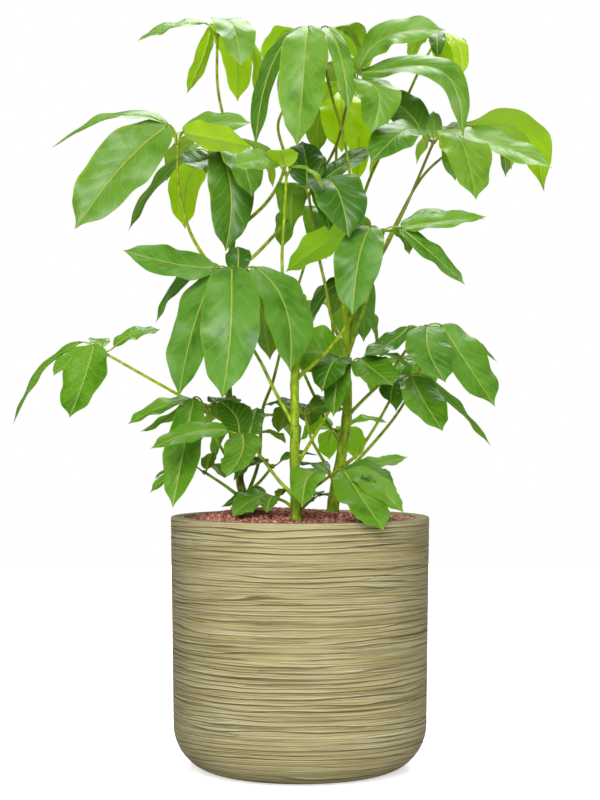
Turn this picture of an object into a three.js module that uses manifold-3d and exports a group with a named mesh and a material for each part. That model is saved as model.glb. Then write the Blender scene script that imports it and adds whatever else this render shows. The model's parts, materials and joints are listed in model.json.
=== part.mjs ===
// Potted umbrella plant: a round planter, its soil and gravel, three slender
// trunks and the compound leaves that stand on them. Millimetres, +Z up, the
// origin at the middle of the planter's flat base, -Y towards the viewer.
import * as THREE from 'three';
import { mergeVertices } from 'three/addons/utils/BufferGeometryUtils.js';
import Module from 'manifold-3d';

const wasm = await Module();
wasm.setup();

// ---- driving dimensions ----------------------------------------------------

const gap = 0.3; // clearance between pieces that touch

const pot = {
  height: 391,
  rimRadius: 200,
  lowerRadius: 196, // where the wall meets the round foot
  footRadius: 127, // flat base
  footHeight: 72, // height of the round foot
  wall: 22,
  floorInset: 4, // how much narrower the inside's flat floor is than the base
  lipRounding: 2.5,
  sides: 36,
};

const gravel = {
  depth: 26,
  mound: 6, // rise from the wall to the middle
  wallLevel: pot.height - 4, // mean level where it meets the wall
  stonePitch: 19,
  stoneHeight: 2.6,
  unevenness: [0.6, 1.4], // least and most of that height
  scatter: 0.18, // how far a stone strays, as a share of the pitch
  seed: 7,
};

// Points up the middle of each trunk, and its thickness at the two ends.
const trunks = {
  left: {
    radii: [6.6, 4.6],
    route: [
      [-82, 38, 322], [-82, 38, 391], [-91, 38, 430], [-98, 40, 462], [-105, 42, 508],
      [-112, 44, 576], [-113, 46, 670], [-111, 46, 767], [-104, 46, 836], [-100, 46, 866],
    ],
    scars: [436, 476, 530, 618, 700, 768],
  },
  centre: {
    radii: [8.2, 5.4],
    route: [
      [-5, -102, 322], [-5, -102, 391], [-7, -101, 430], [-8, -100, 511], [-8, -98, 571],
      [-7, -96, 616], [-1, -94, 650], [3, -92, 690], [5, -92, 722],
    ],
    scars: [425, 480, 531, 556, 594, 650],
  },
  right: {
    radii: [9.6, 6.0],
    route: [
      [52, 85, 322], [52, 85, 391], [56, 84, 428], [66, 82, 484], [74, 78, 542],
      [75, 75, 587], [72, 72, 639], [73, 70, 684], [75, 70, 724],
    ],
    scars: [414, 462, 500, 545, 600, 648],
  },
};
const trunkSides = 7;
const trunkRowLength = 30;
const scarSwelling = 0.16; // share of the radius
const scarReach = 14; // where a scar's ring fades out, above and below it

const petiole = { hubRadius: 2.4, footRadius: 3.6, sides: 4 };
const petiolule = {
  share: 0.2, // of the leaflet's reach
  shortest: 10,
  longest: 36,
  radius: 1.8,
  flatness: 0.6, // its thickness as a share of its width
  offset: 2.4, // where it starts, off the middle of the hub
};
const hubRadius = 6;

const blade = {
  thickness: 1.2,
  ribDepth: 1.4, // how far the midrib stands out below, at the base
  widest: 0.42, // share of the length, from the base
  outerCurve: 2.2, // how the outer half narrows
  taper: 0.75, // how full the outer half is: lower is fuller
  drip: 0.72, // how much the tip is drawn in
  dripStart: 0.72, // and the share of the outer half where that starts
  fold: 0.12, // rise of the edges over the midrib, as a share of the half width
  wave: 0.055, // height of the edge's waves, as a share of the width
  waves: 2.4, // waves along one edge
  leafPhase: 12, // shift of the waves from one leaf to the next
  leafletPhase: 2.4, // and from one of its leaflets to the next
  bowIn: 0.9,
  bowOut: 1.2,
  lateArch: 45, // leaflets that arch higher than this turn down later
};

// Wider blades have more rows of points, and the narrowest no rib of their own.
const bladeGrades = [
  { upTo: 48, columns: [1, -1], rows: [0.18, 0.7, 1] },
  { upTo: 70, columns: [1, -1], rows: [0.1, 0.42, 0.8, 1] },
  { upTo: 83, columns: [1, 0, -1], rows: [0.1, 0.42, 0.8, 1] },
  { upTo: Infinity, columns: [1, 0, -1], rows: [0.08, 0.3, 0.6, 0.85, 1] },
];

// Every leaf stands on a trunk at a given height (foot), runs up its petiole
// (via, from the trunk to the hub) and spreads its leaflets round the hub. Their
// stalks leave the hub at the angle rise over level, in degrees.
// A leaflet is [x, y, z from hub to tip, width, arch, roll in degrees], and where its
// midrib curves to one side, how far it does.
const leaves = [
  { name: 'leaf_top_left', hub: [-130, 40, 1144], foot: ['left', 846], rise: 45,
    via: [[-80, 82, 886], [-98, 128, 934], [-115, 86, 996], [-129, 44, 1060]],
    leaflets: [
      [-125, -14, -12, 54, 8, 20], [-50, 42, -86, 34, -8, 0], [40, -112, -68, 64, 22, 0],
      [22, 118, -36, 55, 28, 0], [30, 62, -96, 50, 24, 10], [59, -20, -102, 34, 24, -10],
    ] },
  { name: 'leaf_top_middle', hub: [26, -20, 1136], foot: ['right', 700], rise: 8,
    via: [[83, 44, 760], [84, 16, 836], [76, -22, 925], [66, -26, 980], [50, -30, 1033]],
    leaflets: [
      [-31, -88, -187, 78, 34, 0, 12], [-84, 62, -40, 48, 26, 0], [-94, -80, -187, 42, 24, 10],
      [47, -104, -138, 32, 18, -10], [79, 46, -37, 52, 30, 0], [84, 112, -42, 52, 30, 0],
      [-18, 120, -70, 56, 34, 0],
    ] },
  { name: 'leaf_top_right', hub: [76, -20, 1043], foot: ['left', 770], rise: 66,
    via: [[-76, 54, 795], [-26, 72, 849], [13, 68, 896], [34, 50, 928], [58, 10, 972]],
    leaflets: [
      [30, -70, -72, 72, 30, 0, 20], [146, -30, 93, 70, 30, -46], [170, -80, -81, 58, 68, -40],
      [-42, 62, -6, 42, 14, 0],
    ] },
  { name: 'leaf_crown_right', hub: [218, 90, 1146], foot: ['right', 712], rise: 25,
    via: [[85, 78, 800], [104, 92, 904], [140, 92, 985], [165, 92, 1041], [192, 90, 1100]],
    leaflets: [
      [34, 52, -62, 46, 28, 0], [36, -42, -66, 34, 16, -10], [-4, -72, -42, 26, 12, 0],
      [-40, 42, -26, 34, 14, 0], [46, 24, -34, 34, 14, 0], [14, 92, -30, 36, 20, 0],
    ] },
  { name: 'leaf_upper_left', hub: [-189, -20, 961], foot: ['left', 756], rise: 68,
    via: [[-140, 16, 782], [-165, 0, 820], [-178, -12, 855], [-188, -20, 908]],
    leaflets: [
      [-151, -64, -132, 98, 11, 54], [-199, 22, 0, 56, 30, 20], [-22, 92, 20, 24, 8, 0],
      [116, -46, -5, 58, 0, 44], [114, 20, 40, 50, 8, -42],
    ] },
  { name: 'leaf_upper_left_inner', hub: [-132, 88, 948], foot: ['left', 812], rise: 40,
    via: [[-110, 72, 866]],
    leaflets: [
      [-142, 0, -108, 48, 16, 24], [-56, 84, -98, 62, 22, 0, 10], [-52, -58, -6, 56, -4, 40],
      [59, -112, -65, 66, 26, 0], [16, -72, -146, 72, 18, 0, 10], [46, -46, -10, 40, 10, -20],
    ] },
  { name: 'leaf_young_front', hub: [-20, -130, 907], foot: ['centre', 664], rise: 50,
    via: [[-20, -84, 706], [-27, -92, 777], [-24, -116, 836]],
    leaflets: [
      [-79, -28, 9, 42, 8, 48], [-60, 36, 18, 44, 14, -10], [-12, -48, 30, 44, 10, 0],
      [54, -22, -24, 30, 12, 0],
    ] },
  { name: 'leaf_upper_middle', hub: [13, -34, 886], foot: ['right', 648], rise: 42,
    via: [[49, 8, 698], [39, -15, 748], [25, -27, 809], [18, -34, 855]],
    leaflets: [
      [60, -102, -74, 84, 32, -12], [31, -62, -62, 38, 14, 0], [-26, 68, -42, 56, 36, 0],
      [104, 84, 86, 40, 2, -24], [26, 20, 62, 34, 4, 0], [-10, 62, 90, 62, 6, 0],
    ] },
  { name: 'leaf_upper_back', hub: [60, 130, 1055], foot: ['right', 690], rise: 30,
    via: [[64, 64, 760], [58, 112, 893]],
    leaflets: [
      [32, 44, -132, 46, 28, 0], [52, -22, -134, 44, 26, 0], [-30, 52, -80, 50, 26, 0],
      [80, 46, -52, 50, 26, 0], [-80, 22, -40, 48, 24, 0], [6, -60, -92, 72, 18, 0],
    ] },
  { name: 'leaf_middle_right', hub: [122, -60, 828], foot: ['right', 630], rise: 8,
    via: [[86, 40, 672], [106, -28, 740]],
    leaflets: [
      [165, 44, 22, 56, 12, -26], [160, -24, 20, 46, 2, -36], [126, -46, -85, 46, 2, -28],
      [-45, -96, -133, 74, 20, 8], [-144, 6, -62, 68, 8, -36], [-20, 74, -50, 46, 20, 0],
      [46, 24, -35, 40, 14, 0],
    ] },
  { name: 'leaf_upper_right', hub: [207, 0, 971], foot: ['centre', 600], rise: 34,
    via: [[43, -62, 647], [78, -42, 697], [111, -22, 768], [133, -12, 807], [165, -5, 873]],
    leaflets: [
      [-101, -82, -42, 76, 18, 24, 10], [-79, 66, 86, 56, 8, 52],
      [60, -76, -97, 88, 32, -8, -12], [178, -52, -46, 66, 4, -36], [179, 62, -71, 86, 64, 20],
      [104, 96, 30, 46, 14, 0], [2, 34, 53, 26, 4, 0],
    ] },
  { name: 'leaf_middle_left', hub: [-94, -90, 756], foot: ['centre', 532], rise: 24,
    via: [[-37, -94, 583], [-57, -92, 624], [-76, -90, 661]],
    leaflets: [
      [-170, -34, 38, 60, -6, 52], [-128, 52, -68, 44, 24, 44], [-86, -52, -182, 84, 8, 16, -2],
      [-20, -92, -184, 90, 26, 0, 12], [80, -68, -144, 84, 24, -14, 6], [-2, 72, 52, 40, 6, 0],
      [48, 84, -124, 60, 10, 0],
    ] },
  { name: 'leaf_inner_right', hub: [108, 106, 753], foot: ['right', 668], rise: 30,
    via: [[92, 92, 712]],
    leaflets: [
      [-8, -62, -92, 36, 20, 0], [-90, 40, -26, 40, 16, 0], [-94, -6, -56, 46, 16, 24],
      [-12, -40, -70, 28, 10, 0], [-56, 88, -46, 44, 22, 0],
    ] },
  { name: 'leaf_centre_right', hub: [79, 10, 629], foot: ['centre', 468], rise: 16,
    via: [[17, -74, 509], [36, -44, 540], [55, -12, 571], [74, 6, 606]],
    leaflets: [
      [97, -40, -14, 44, 16, 0], [62, -82, -36, 60, 0, -30], [-94, -14, 12, 92, 8, 58],
      [-46, -78, -46, 58, 18, 10], [-28, -56, -84, 44, 14, 0],
    ] },
  { name: 'leaf_lower_right', hub: [187, 0, 681], foot: ['right', 545], rise: 10,
    via: [[102, 40, 574], [134, 12, 606], [160, 0, 642]],
    leaflets: [
      [32, -96, -84, 74, 6, 0, -14], [110, -58, -120, 84, 4, -28, -10],
      [-90, -40, -42, 44, -6, 26], [124, 52, -50, 34, 6, 0], [12, 112, -40, 54, 10, 0],
      [-62, 56, -44, 40, 4, 0],
    ] },
  { name: 'leaf_lower_right_inner', hub: [159, 60, 603], foot: ['right', 462], rise: 12,
    via: [[88, 74, 482], [107, 66, 510], [130, 62, 548]],
    leaflets: [
      [60, -98, -80, 66, 4, -12, -8], [145, 12, -106, 44, 4, -22], [-14, 66, -14, 38, 10, 0],
      [-18, -40, -36, 44, 8, 0],
    ] },
  { name: 'leaf_rim_front', hub: [47, -110, 459], foot: ['centre', 418], rise: 16,
    via: [[22, -106, 440]],
    leaflets: [
      [-44, -52, -46, 58, 22, 8], [75, -92, -78, 78, 2, -12, -4], [96, -18, -18, 52, 10, -30],
      [106, -54, -54, 52, 8, -26], [117, 36, 26, 40, 0, -22], [-46, 66, 12, 42, 8, 0],
    ] },
  { name: 'leaf_far_left', hub: [-305, 0, 645], foot: ['left', 530], rise: 26,
    via: [[-143, 24, 552], [-189, 12, 579], [-247, 2, 612]],
    leaflets: [
      [-43, -84, -101, 76, 4, 0, 6], [88, 22, 36, 42, 8, -24], [-143, 12, -113, 36, 20, 26],
      [-85, 62, -36, 46, 8, 0], [-22, 92, 24, 34, 4, 0],
    ] },
  { name: 'leaf_lower_left', hub: [-143, -40, 559], foot: ['left', 458], rise: 28,
    via: [[-115, 8, 484], [-128, -20, 510], [-138, -34, 536]],
    leaflets: [
      [-119, -28, -25, 50, 7, 20], [-106, 46, -38, 40, -4, 32], [-48, -66, -150, 64, 2, 8],
      [46, 62, 5, 46, 8, 0], [6, 46, -16, 34, 8, 0],
    ] },
  { name: 'leaf_low_front', hub: [-79, -104, 515], foot: ['centre', 426], rise: 18,
    via: [[-28, -104, 446], [-44, -103, 466], [-60, -103, 488]],
    leaflets: [
      [-142, -54, -16, 44, 10, 36], [-30, -76, -58, 62, 6, -6, 16],
      [-45, 24, 57, 58, 4, 34, -14], [14, 52, 45, 38, 6, 0], [58, 34, -10, 40, 10, 0],
    ] },
  { name: 'leaf_low_left', hub: [-151, 60, 457], foot: ['left', 414], rise: 30,
    via: [[-118, 52, 436]],
    leaflets: [
      [14, -26, 32, 26, 4, 0], [-85, -24, -32, 36, 8, 16], [-82, 32, -13, 32, 12, 0],
      [30, 62, -12, 40, 12, 0],
    ] },
  { name: 'leaf_gravel_left', hub: [-36, -64, 422], foot: ['centre', 404], rise: 20,
    via: [[-20, -84, 416]],
    leaflets: [
      [-66, -30, -26, 54, 6, 24], [12, -26, 16, 20, 2, 0], [-86, 34, -16, 40, 6, 30],
      [-14, -46, -20, 30, 8, 0],
    ] },
  { name: 'leaf_centre_low', hub: [7, 20, 548], foot: ['right', 428], rise: 30,
    via: [[47, 66, 457], [29, 42, 489], [18, 26, 510]],
    leaflets: [
      [-65, 32, 15, 46, 8, 14], [62, 24, 8, 46, 8, -38], [10, 92, -20, 50, 18, 0],
      [-42, 72, -30, 46, 16, 0],
    ] },
  { name: 'leaf_low_right_back', hub: [62, 150, 519], foot: ['right', 482], rise: 30,
    via: [[64, 120, 500]],
    leaflets: [
      [30, 60, -47, 48, 14, 0], [-14, 20, -46, 42, 12, 0], [-62, 32, -14, 46, 12, 36],
      [81, 10, 15, 34, 10, -14],
    ] },
  { name: 'leaf_low_middle', hub: [-43, 40, 467], foot: ['left', 420], rise: 30,
    via: [[-62, 38, 444]],
    leaflets: [
      [-61, -32, -22, 34, 10, 10], [-46, 22, 10, 30, 6, 0], [72, 22, 17, 34, 8, -10],
    ] },
  { name: 'leaf_seedling', hub: [18, -62, 420], foot: ['centre', 402], rise: 30,
    via: [[8, -80, 412]],
    leaflets: [
      [32, -12, 4, 24, 4, 0], [14, 30, 8, 22, 4, 0], [-18, 26, 6, 20, 4, 0],
    ] },
  { name: 'leaf_back_left', hub: [-90, 200, 736], foot: ['right', 498], rise: 36,
    via: [[41, 108, 539], [20, 130, 584], [-8, 164, 640]],
    leaflets: [
      [-118, 34, -56, 58, 30, 0], [-52, 122, -60, 60, 30, 0], [66, 92, -66, 60, 28, 0],
      [64, -34, -84, 56, 26, 0], [-60, -54, -96, 56, 26, 0],
    ] },
  { name: 'leaf_back_upper_left', hub: [-132, 196, 983], foot: ['left', 792], rise: 36,
    via: [[-112, 100, 850], [-112, 176, 925]],
    leaflets: [
      [-92, 62, -46, 56, 28, 0], [10, 124, -52, 58, 28, 0], [88, 40, -60, 56, 28, 0],
      [46, -46, -84, 52, 24, 0], [-62, -30, -82, 50, 24, 0],
    ] },
  { name: 'leaf_back_top', hub: [24, 184, 1112], foot: ['left', 834], rise: 30,
    via: [[-50, 56, 886], [-24, 110, 950], [-34, 172, 1030]],
    leaflets: [
      [-92, 32, -52, 56, 28, 0], [-46, 112, -60, 58, 28, 0], [60, 102, -52, 56, 28, 0],
      [98, 26, -46, 52, 26, 0],
    ] },
  { name: 'leaf_back_upper_right', hub: [276, 174, 1000], foot: ['right', 602], rise: 36,
    via: [[85, 118, 709], [118, 138, 779], [160, 150, 866], [204, 158, 940]],
    leaflets: [
      [76, 60, -46, 54, 28, 0], [-12, 112, -52, 56, 28, 0], [-84, 40, -40, 54, 26, 0],
      [-26, -46, -76, 46, 24, 0], [56, -40, -70, 46, 24, 0],
    ] },
  { name: 'leaf_back_middle', hub: [51, 232, 721], foot: ['right', 562], rise: 36,
    via: [[64, 140, 610], [56, 200, 670]],
    leaflets: [
      [-58, 86, -50, 58, 24, 0], [36, 112, -56, 58, 28, 0], [78, 20, -64, 52, 26, 0],
      [-56, -30, -84, 52, 26, 0],
    ] },
  { name: 'leaf_back_lower_right', hub: [200, 200, 624], foot: ['right', 442], rise: 36,
    via: [[104, 120, 486], [164, 176, 556]],
    leaflets: [
      [84, 46, -44, 56, 28, 0], [10, 118, -56, 58, 28, 0], [-82, 58, -46, 54, 26, 0],
      [-44, -46, -72, 50, 24, 0],
    ] },
  { name: 'leaf_back_lower_left', hub: [-81, 184, 530], foot: ['left', 438], rise: 36,
    via: [[-90, 90, 466], [-86, 146, 500]],
    leaflets: [
      [-96, 40, -42, 54, 24, 0], [-20, 110, -46, 56, 26, 0], [80, 56, -40, 52, 24, 0],
      [-58, -34, -56, 46, 20, 0],
    ] },
  { name: 'leaf_back_high', hub: [30, 186, 874], foot: ['left', 412], rise: 36,
    via: [[-66, 84, 472], [-60, 110, 555], [-44, 128, 600], [-20, 140, 700], [10, 170, 800]],
    leaflets: [
      [-60, 56, -52, 54, 26, 0], [2, 118, -56, 56, 28, 0], [84, 50, -50, 54, 26, 0],
      [12, -48, -76, 48, 22, 0],
    ] },
];

const looks = {
  pot: { color: 0xa59e73, roughness: 0.85, metalness: 0 },
  soil: { color: 0x3a2a1e, roughness: 0.95, metalness: 0 },
  gravel: { color: 0xa05c4c, roughness: 0.9, metalness: 0 },
  trunk: { color: 0x71821c, roughness: 0.7, metalness: 0 },
  leaf: { roughness: 0.4, metalness: 0 },
};

// Leaves are paler towards the top of the plant, by the height of their hub.
const leafTones = [
  { above: 900, color: 0x96be78 },
  { above: 650, color: 0x5f9a3c },
  { above: 0, color: 0x4a8a1c },
];

// ---- solids ----------------------------------------------------------------

// A closed surface with merged points as a solid that can be joined and cut.
function solidOf(geometry) {
  const bare = geometry.clone();
  bare.deleteAttribute('normal');
  bare.deleteAttribute('uv');
  const merged = mergeVertices(bare);
  const corners = [];
  for (let i = 0; i < merged.index.count; i += 3) {
    const [a, b, c] = [0, 1, 2].map((k) => merged.index.getX(i + k));
    if (a !== b && b !== c && c !== a) corners.push(a, b, c);
  }
  return new wasm.Manifold(new wasm.Mesh({
    numProp: 3,
    vertProperties: new Float32Array(merged.attributes.position.array),
    triVerts: new Uint32Array(corners),
  }));
}

// The largest piece of a solid: scraps that a cut leaves loose are dropped.
function mainPiece(solid) {
  return solid.decompose().reduce((a, b) => (a.volume() > b.volume() ? a : b));
}

function geometryOf(solid) {
  const mesh = solid.getMesh();
  const points = [];
  for (let i = 0; i < mesh.vertProperties.length; i += mesh.numProp) {
    points.push(...mesh.vertProperties.slice(i, i + 3));
  }
  const geometry = new THREE.BufferGeometry();
  geometry.setAttribute('position', new THREE.Float32BufferAttribute(points, 3));
  geometry.setIndex([...mesh.triVerts]);
  geometry.computeVertexNormals();
  return geometry;
}

const vector = (point) => new THREE.Vector3(...point);

// A round limb through a list of stations, each a point on its middle line with
// the direction and the radius there. It is closed at both ends.
function limb(stations, sides) {
  const rows = stations.length - 1;
  const geometry = new THREE.CylinderGeometry(1, 1, 1, sides, rows);
  const position = geometry.attributes.position;
  const depth = new THREE.Vector3(0, 1, 0);
  for (let i = 0; i < position.count; i += 1) {
    const station = stations[Math.round((0.5 - position.getY(i)) * rows)];
    const across = depth.clone().cross(station.ahead).normalize();
    const over = station.ahead.clone().cross(across);
    const point = station.point.clone()
      .addScaledVector(across, position.getX(i) * station.radius)
      .addScaledVector(over, position.getZ(i) * station.radius);
    position.setXYZ(i, point.x, point.y, point.z);
  }
  return geometry;
}

// ---- planter, soil and gravel ----------------------------------------------

// A quarter round from the flat floor up to the wall, as profile points.
function roundFoot(flatRadius, floor, wallRadius, wallStart, steps) {
  return Array.from({ length: steps + 1 }, (_, i) => {
    const angle = (Math.PI / 2) * (i / steps);
    return new THREE.Vector2(
      flatRadius + (wallRadius - flatRadius) * Math.sin(angle),
      wallStart - (wallStart - floor) * Math.cos(angle),
    );
  });
}

const footSteps = 4;
const innerRim = pot.rimRadius - pot.wall;
const innerLower = pot.lowerRadius - pot.wall;
const innerFoot = pot.footRadius - pot.floorInset;

function potGeometry() {
  const lip = pot.lipRounding;
  const profile = [
    new THREE.Vector2(0, 0),
    ...roundFoot(pot.footRadius, 0, pot.lowerRadius, pot.footHeight, footSteps),
    new THREE.Vector2(pot.rimRadius, pot.height - lip),
    new THREE.Vector2(pot.rimRadius - lip, pot.height),
    new THREE.Vector2(innerRim + lip, pot.height),
    new THREE.Vector2(innerRim, pot.height - lip),
    ...roundFoot(innerFoot, pot.wall, innerLower, pot.footHeight, footSteps).reverse(),
    new THREE.Vector2(0, pot.wall),
  ];
  return geometryOf(solidOf(upright(new THREE.LatheGeometry(profile, pot.sides))));
}

// Lathe forms turn about Y, so they are tipped up to stand on +Z.
function upright(geometry) {
  return geometry.rotateX(Math.PI / 2);
}

// The radius of the planter's inside at a height above its round foot.
function innerRadiusAt(height) {
  const share = (height - pot.footHeight) / (pot.height - pot.footHeight);
  return innerLower + (innerRim - innerLower) * share;
}

const soilTop = gravel.wallLevel - gravel.depth;

function soilGeometry() {
  const profile = [
    new THREE.Vector2(0, pot.wall + gap),
    ...roundFoot(innerFoot - gap, pot.wall + gap, innerLower - gap, pot.footHeight, footSteps),
    new THREE.Vector2(innerRadiusAt(soilTop) - gap, soilTop),
    new THREE.Vector2(0, soilTop),
  ];
  const soil = solidOf(upright(new THREE.LatheGeometry(profile, pot.sides / 2)));
  return geometryOf(mainPiece(soil.subtract(trunkHoles)));
}

// Loose stones as relief: a grid of points in which every third stands up.
function gravelGeometry() {
  const bottom = soilTop + gap;
  const outer = (innerRadiusAt(bottom) - gap) * Math.cos(Math.PI / pot.sides);
  const rings = Math.round(outer / gravel.stonePitch);
  const points = [[0, 0, 0]];
  const starts = [0];
  for (let ring = 1; ring <= rings; ring += 1) {
    starts.push(points.length);
    for (let i = 0; i < ring * 6; i += 1) {
      const turn = (2 * Math.PI * i) / (ring * 6);
      const radius = (outer * ring) / rings;
      points.push([radius * Math.cos(turn), radius * Math.sin(turn), (ring + i) % 3]);
    }
  }
  const draw = seededDraw(gravel.seed);
  const edge = starts[rings];
  points.forEach((point, i) => {
    const share = Math.hypot(point[0], point[1]) / outer;
    const stray = i < edge ? gravel.stonePitch * gravel.scatter : 0;
    point[0] += stray * (2 * draw() - 1);
    point[1] += stray * (2 * draw() - 1);
    const level = gravel.wallLevel + gravel.mound * (1 - share * share);
    const height = gravel.stoneHeight * THREE.MathUtils.lerp(...gravel.unevenness, draw());
    point[2] = level + (point[2] === 0 ? height : -height / 2);
  });
  const corners = [];
  for (let ring = 1; ring <= rings; ring += 1) {
    for (let side = 0; side < 6; side += 1) {
      for (let i = 0; i < ring; i += 1) {
        const outside = starts[ring] + ((side * ring + i) % (ring * 6));
        const next = starts[ring] + ((side * ring + i + 1) % (ring * 6));
        const inCount = Math.max(1, (ring - 1) * 6);
        const inside = starts[ring - 1] + ((side * (ring - 1) + i) % inCount);
        corners.push(outside, next, inside);
        if (i > 0) {
          const before = starts[ring - 1] + ((side * (ring - 1) + i - 1) % inCount);
          corners.push(before, outside, inside);
        }
      }
    }
  }
  const rim = Array.from({ length: rings * 6 }, (_, i) => edge + i);
  const lower = points.length;
  rim.forEach((i) => points.push([points[i][0], points[i][1], bottom]));
  const hub = points.push([0, 0, bottom]) - 1;
  rim.forEach((top, i) => {
    const after = (i + 1) % rim.length;
    corners.push(top, lower + i, rim[after], rim[after], lower + i, lower + after);
    corners.push(lower + i, hub, lower + after);
  });
  const geometry = new THREE.BufferGeometry();
  geometry.setAttribute('position', new THREE.Float32BufferAttribute(points.flat(), 3));
  geometry.setIndex(corners);
  return geometryOf(mainPiece(solidOf(geometry).subtract(trunkHoles)));
}

// Even draws between 0 and 1 that are the same each time.
function seededDraw(seed) {
  let state = seed;
  return () => {
    state = (state * 16807) % 2147483647;
    return state / 2147483647;
  };
}

// ---- trunks ----------------------------------------------------------------

for (const trunk of Object.values(trunks)) {
  trunk.curve = new THREE.CatmullRomCurve3(trunk.route.map(vector));
  trunk.rows = Math.round(trunk.curve.getLength() / trunkRowLength);
}

// Thickness falls from foot to top and swells at the scars of shed leaves.
function trunkRadius(trunk, along, extra) {
  const height = trunk.curve.getPointAt(along).z;
  const plain = THREE.MathUtils.lerp(trunk.radii[0], trunk.radii[1], along);
  const nearest = Math.min(...trunk.scars.map((scar) => Math.abs(scar - height)));
  const swelling = Math.max(0, 1 - nearest / scarReach);
  return plain * (1 + scarSwelling * swelling) + extra;
}

function trunkSolid(trunk, extra) {
  const stations = Array.from({ length: trunk.rows + 1 }, (_, row) => {
    const along = row / trunk.rows;
    return {
      point: trunk.curve.getPointAt(along),
      ahead: trunk.curve.getTangentAt(along),
      radius: trunkRadius(trunk, along, extra),
    };
  });
  return solidOf(limb(stations, trunkSides));
}

// What the trunks take out of the soil, gravel and leaf stalks round them.
const clearance = gap / Math.cos(Math.PI / trunkSides);
const trunkHoles = Object.values(trunks)
  .map((trunk) => trunkSolid(trunk, clearance).add(trunkSolid(trunk, clearance).translate(0, 0, -gap)))
  .reduce((a, b) => a.add(b));

// The point in the middle of a trunk at a height.
function trunkPoint(trunk, height) {
  const closeEnough = 1e-4;
  let [low, high] = [0, 1];
  while (high - low > closeEnough) {
    const middle = (low + high) / 2;
    if (trunk.curve.getPointAt(middle).z < height) low = middle;
    else high = middle;
  }
  return trunk.curve.getPointAt(low);
}

// ---- leaves ----------------------------------------------------------------

// Width of a blade along its length, 0 to 1: round at the base, drawn out at the tip.
function bladeWidth(t) {
  if (t < blade.widest) return Math.sqrt(Math.max(0, 1 - ((t - blade.widest) / blade.widest) ** 2));
  const outer = (t - blade.widest) / (1 - blade.widest);
  const drawn = blade.drip * THREE.MathUtils.smoothstep(outer, blade.dripStart, 1);
  return Math.max(0, 1 - outer ** blade.outerCurve) ** blade.taper * (1 - drawn);
}

// How far the midrib stands off its chord, 0 to 1.
function bow(t, arch) {
  const peak = blade.bowIn / (blade.bowIn + blade.bowOut);
  const shape = (x) => x ** blade.bowIn * (1 - x) ** blade.bowOut;
  return shape(t ** Math.max(1, arch / blade.lateArch)) / shape(peak);
}

// One leaflet with its stalk: rows of points across it, above and below.
function leaflet(hub, rise, [x, y, z, width, arch, roll, bend = 0], phase) {
  const reach = new THREE.Vector3(x, y, z);
  const outward = new THREE.Vector3(x, y, 0).normalize();
  const left = new THREE.Vector3(-outward.y, outward.x, 0);
  const stalk = THREE.MathUtils.clamp(
    reach.length() * petiolule.share, petiolule.shortest, petiolule.longest);
  const climb = THREE.MathUtils.degToRad(rise);
  const base = hub.clone()
    .addScaledVector(outward, stalk * Math.cos(climb))
    .add(new THREE.Vector3(0, 0, stalk * Math.sin(climb)));
  const chord = hub.clone().add(reach).sub(base);
  const up = chord.clone().cross(left).normalize();
  const rib = (t) => base.clone().addScaledVector(chord, t).addScaledVector(up, arch * bow(t, arch))
    .addScaledVector(left, bend * Math.sin(Math.PI * t));
  const angle = THREE.MathUtils.degToRad(roll);
  const step = 0.01;
  const frameAt = (t) => {
    const ahead = rib(Math.min(1, t + step)).sub(rib(Math.max(0, t - step))).normalize();
    const face = ahead.clone().cross(left).normalize();
    return {
      face: face.clone().multiplyScalar(Math.cos(angle)).addScaledVector(left, Math.sin(angle)),
      side: left.clone().multiplyScalar(Math.cos(angle)).addScaledVector(face, -Math.sin(angle)),
    };
  };
  const grade = bladeGrades.find(({ upTo }) => width < upTo);
  const stalkRow = (centre) => {
    const frame = frameAt(0);
    return [1, -1].flatMap((face) => grade.columns.map((side) => centre.clone()
      .addScaledVector(frame.side, side * petiolule.radius)
      .addScaledVector(frame.face, face * petiolule.radius * (side === 0 ? 1 : petiolule.flatness))));
  };
  const bladeRow = (t) => {
    const frame = frameAt(t);
    const half = Math.max(blade.thickness / 2, (width / 2) * bladeWidth(t));
    const above = grade.columns.map((side) => {
      const wave = Math.sin(2 * Math.PI * blade.waves * t + phase + side);
      const lift = blade.fold * half + 2 * blade.wave * half * wave;
      return rib(t).addScaledVector(frame.side, side * half)
        .addScaledVector(frame.face, side === 0 ? 0 : lift);
    });
    const below = above.map((point, i) => {
      const keel = grade.columns[i] === 0 ? blade.ribDepth * (1 - t) : 0;
      return point.clone().addScaledVector(frame.face, -blade.thickness - keel);
    });
    return [...above, ...below];
  };
  const start = hub.clone().addScaledVector(outward, petiolule.offset);
  return loft([stalkRow(start), stalkRow(base), ...grade.rows.map(bladeRow)]);
}

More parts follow.
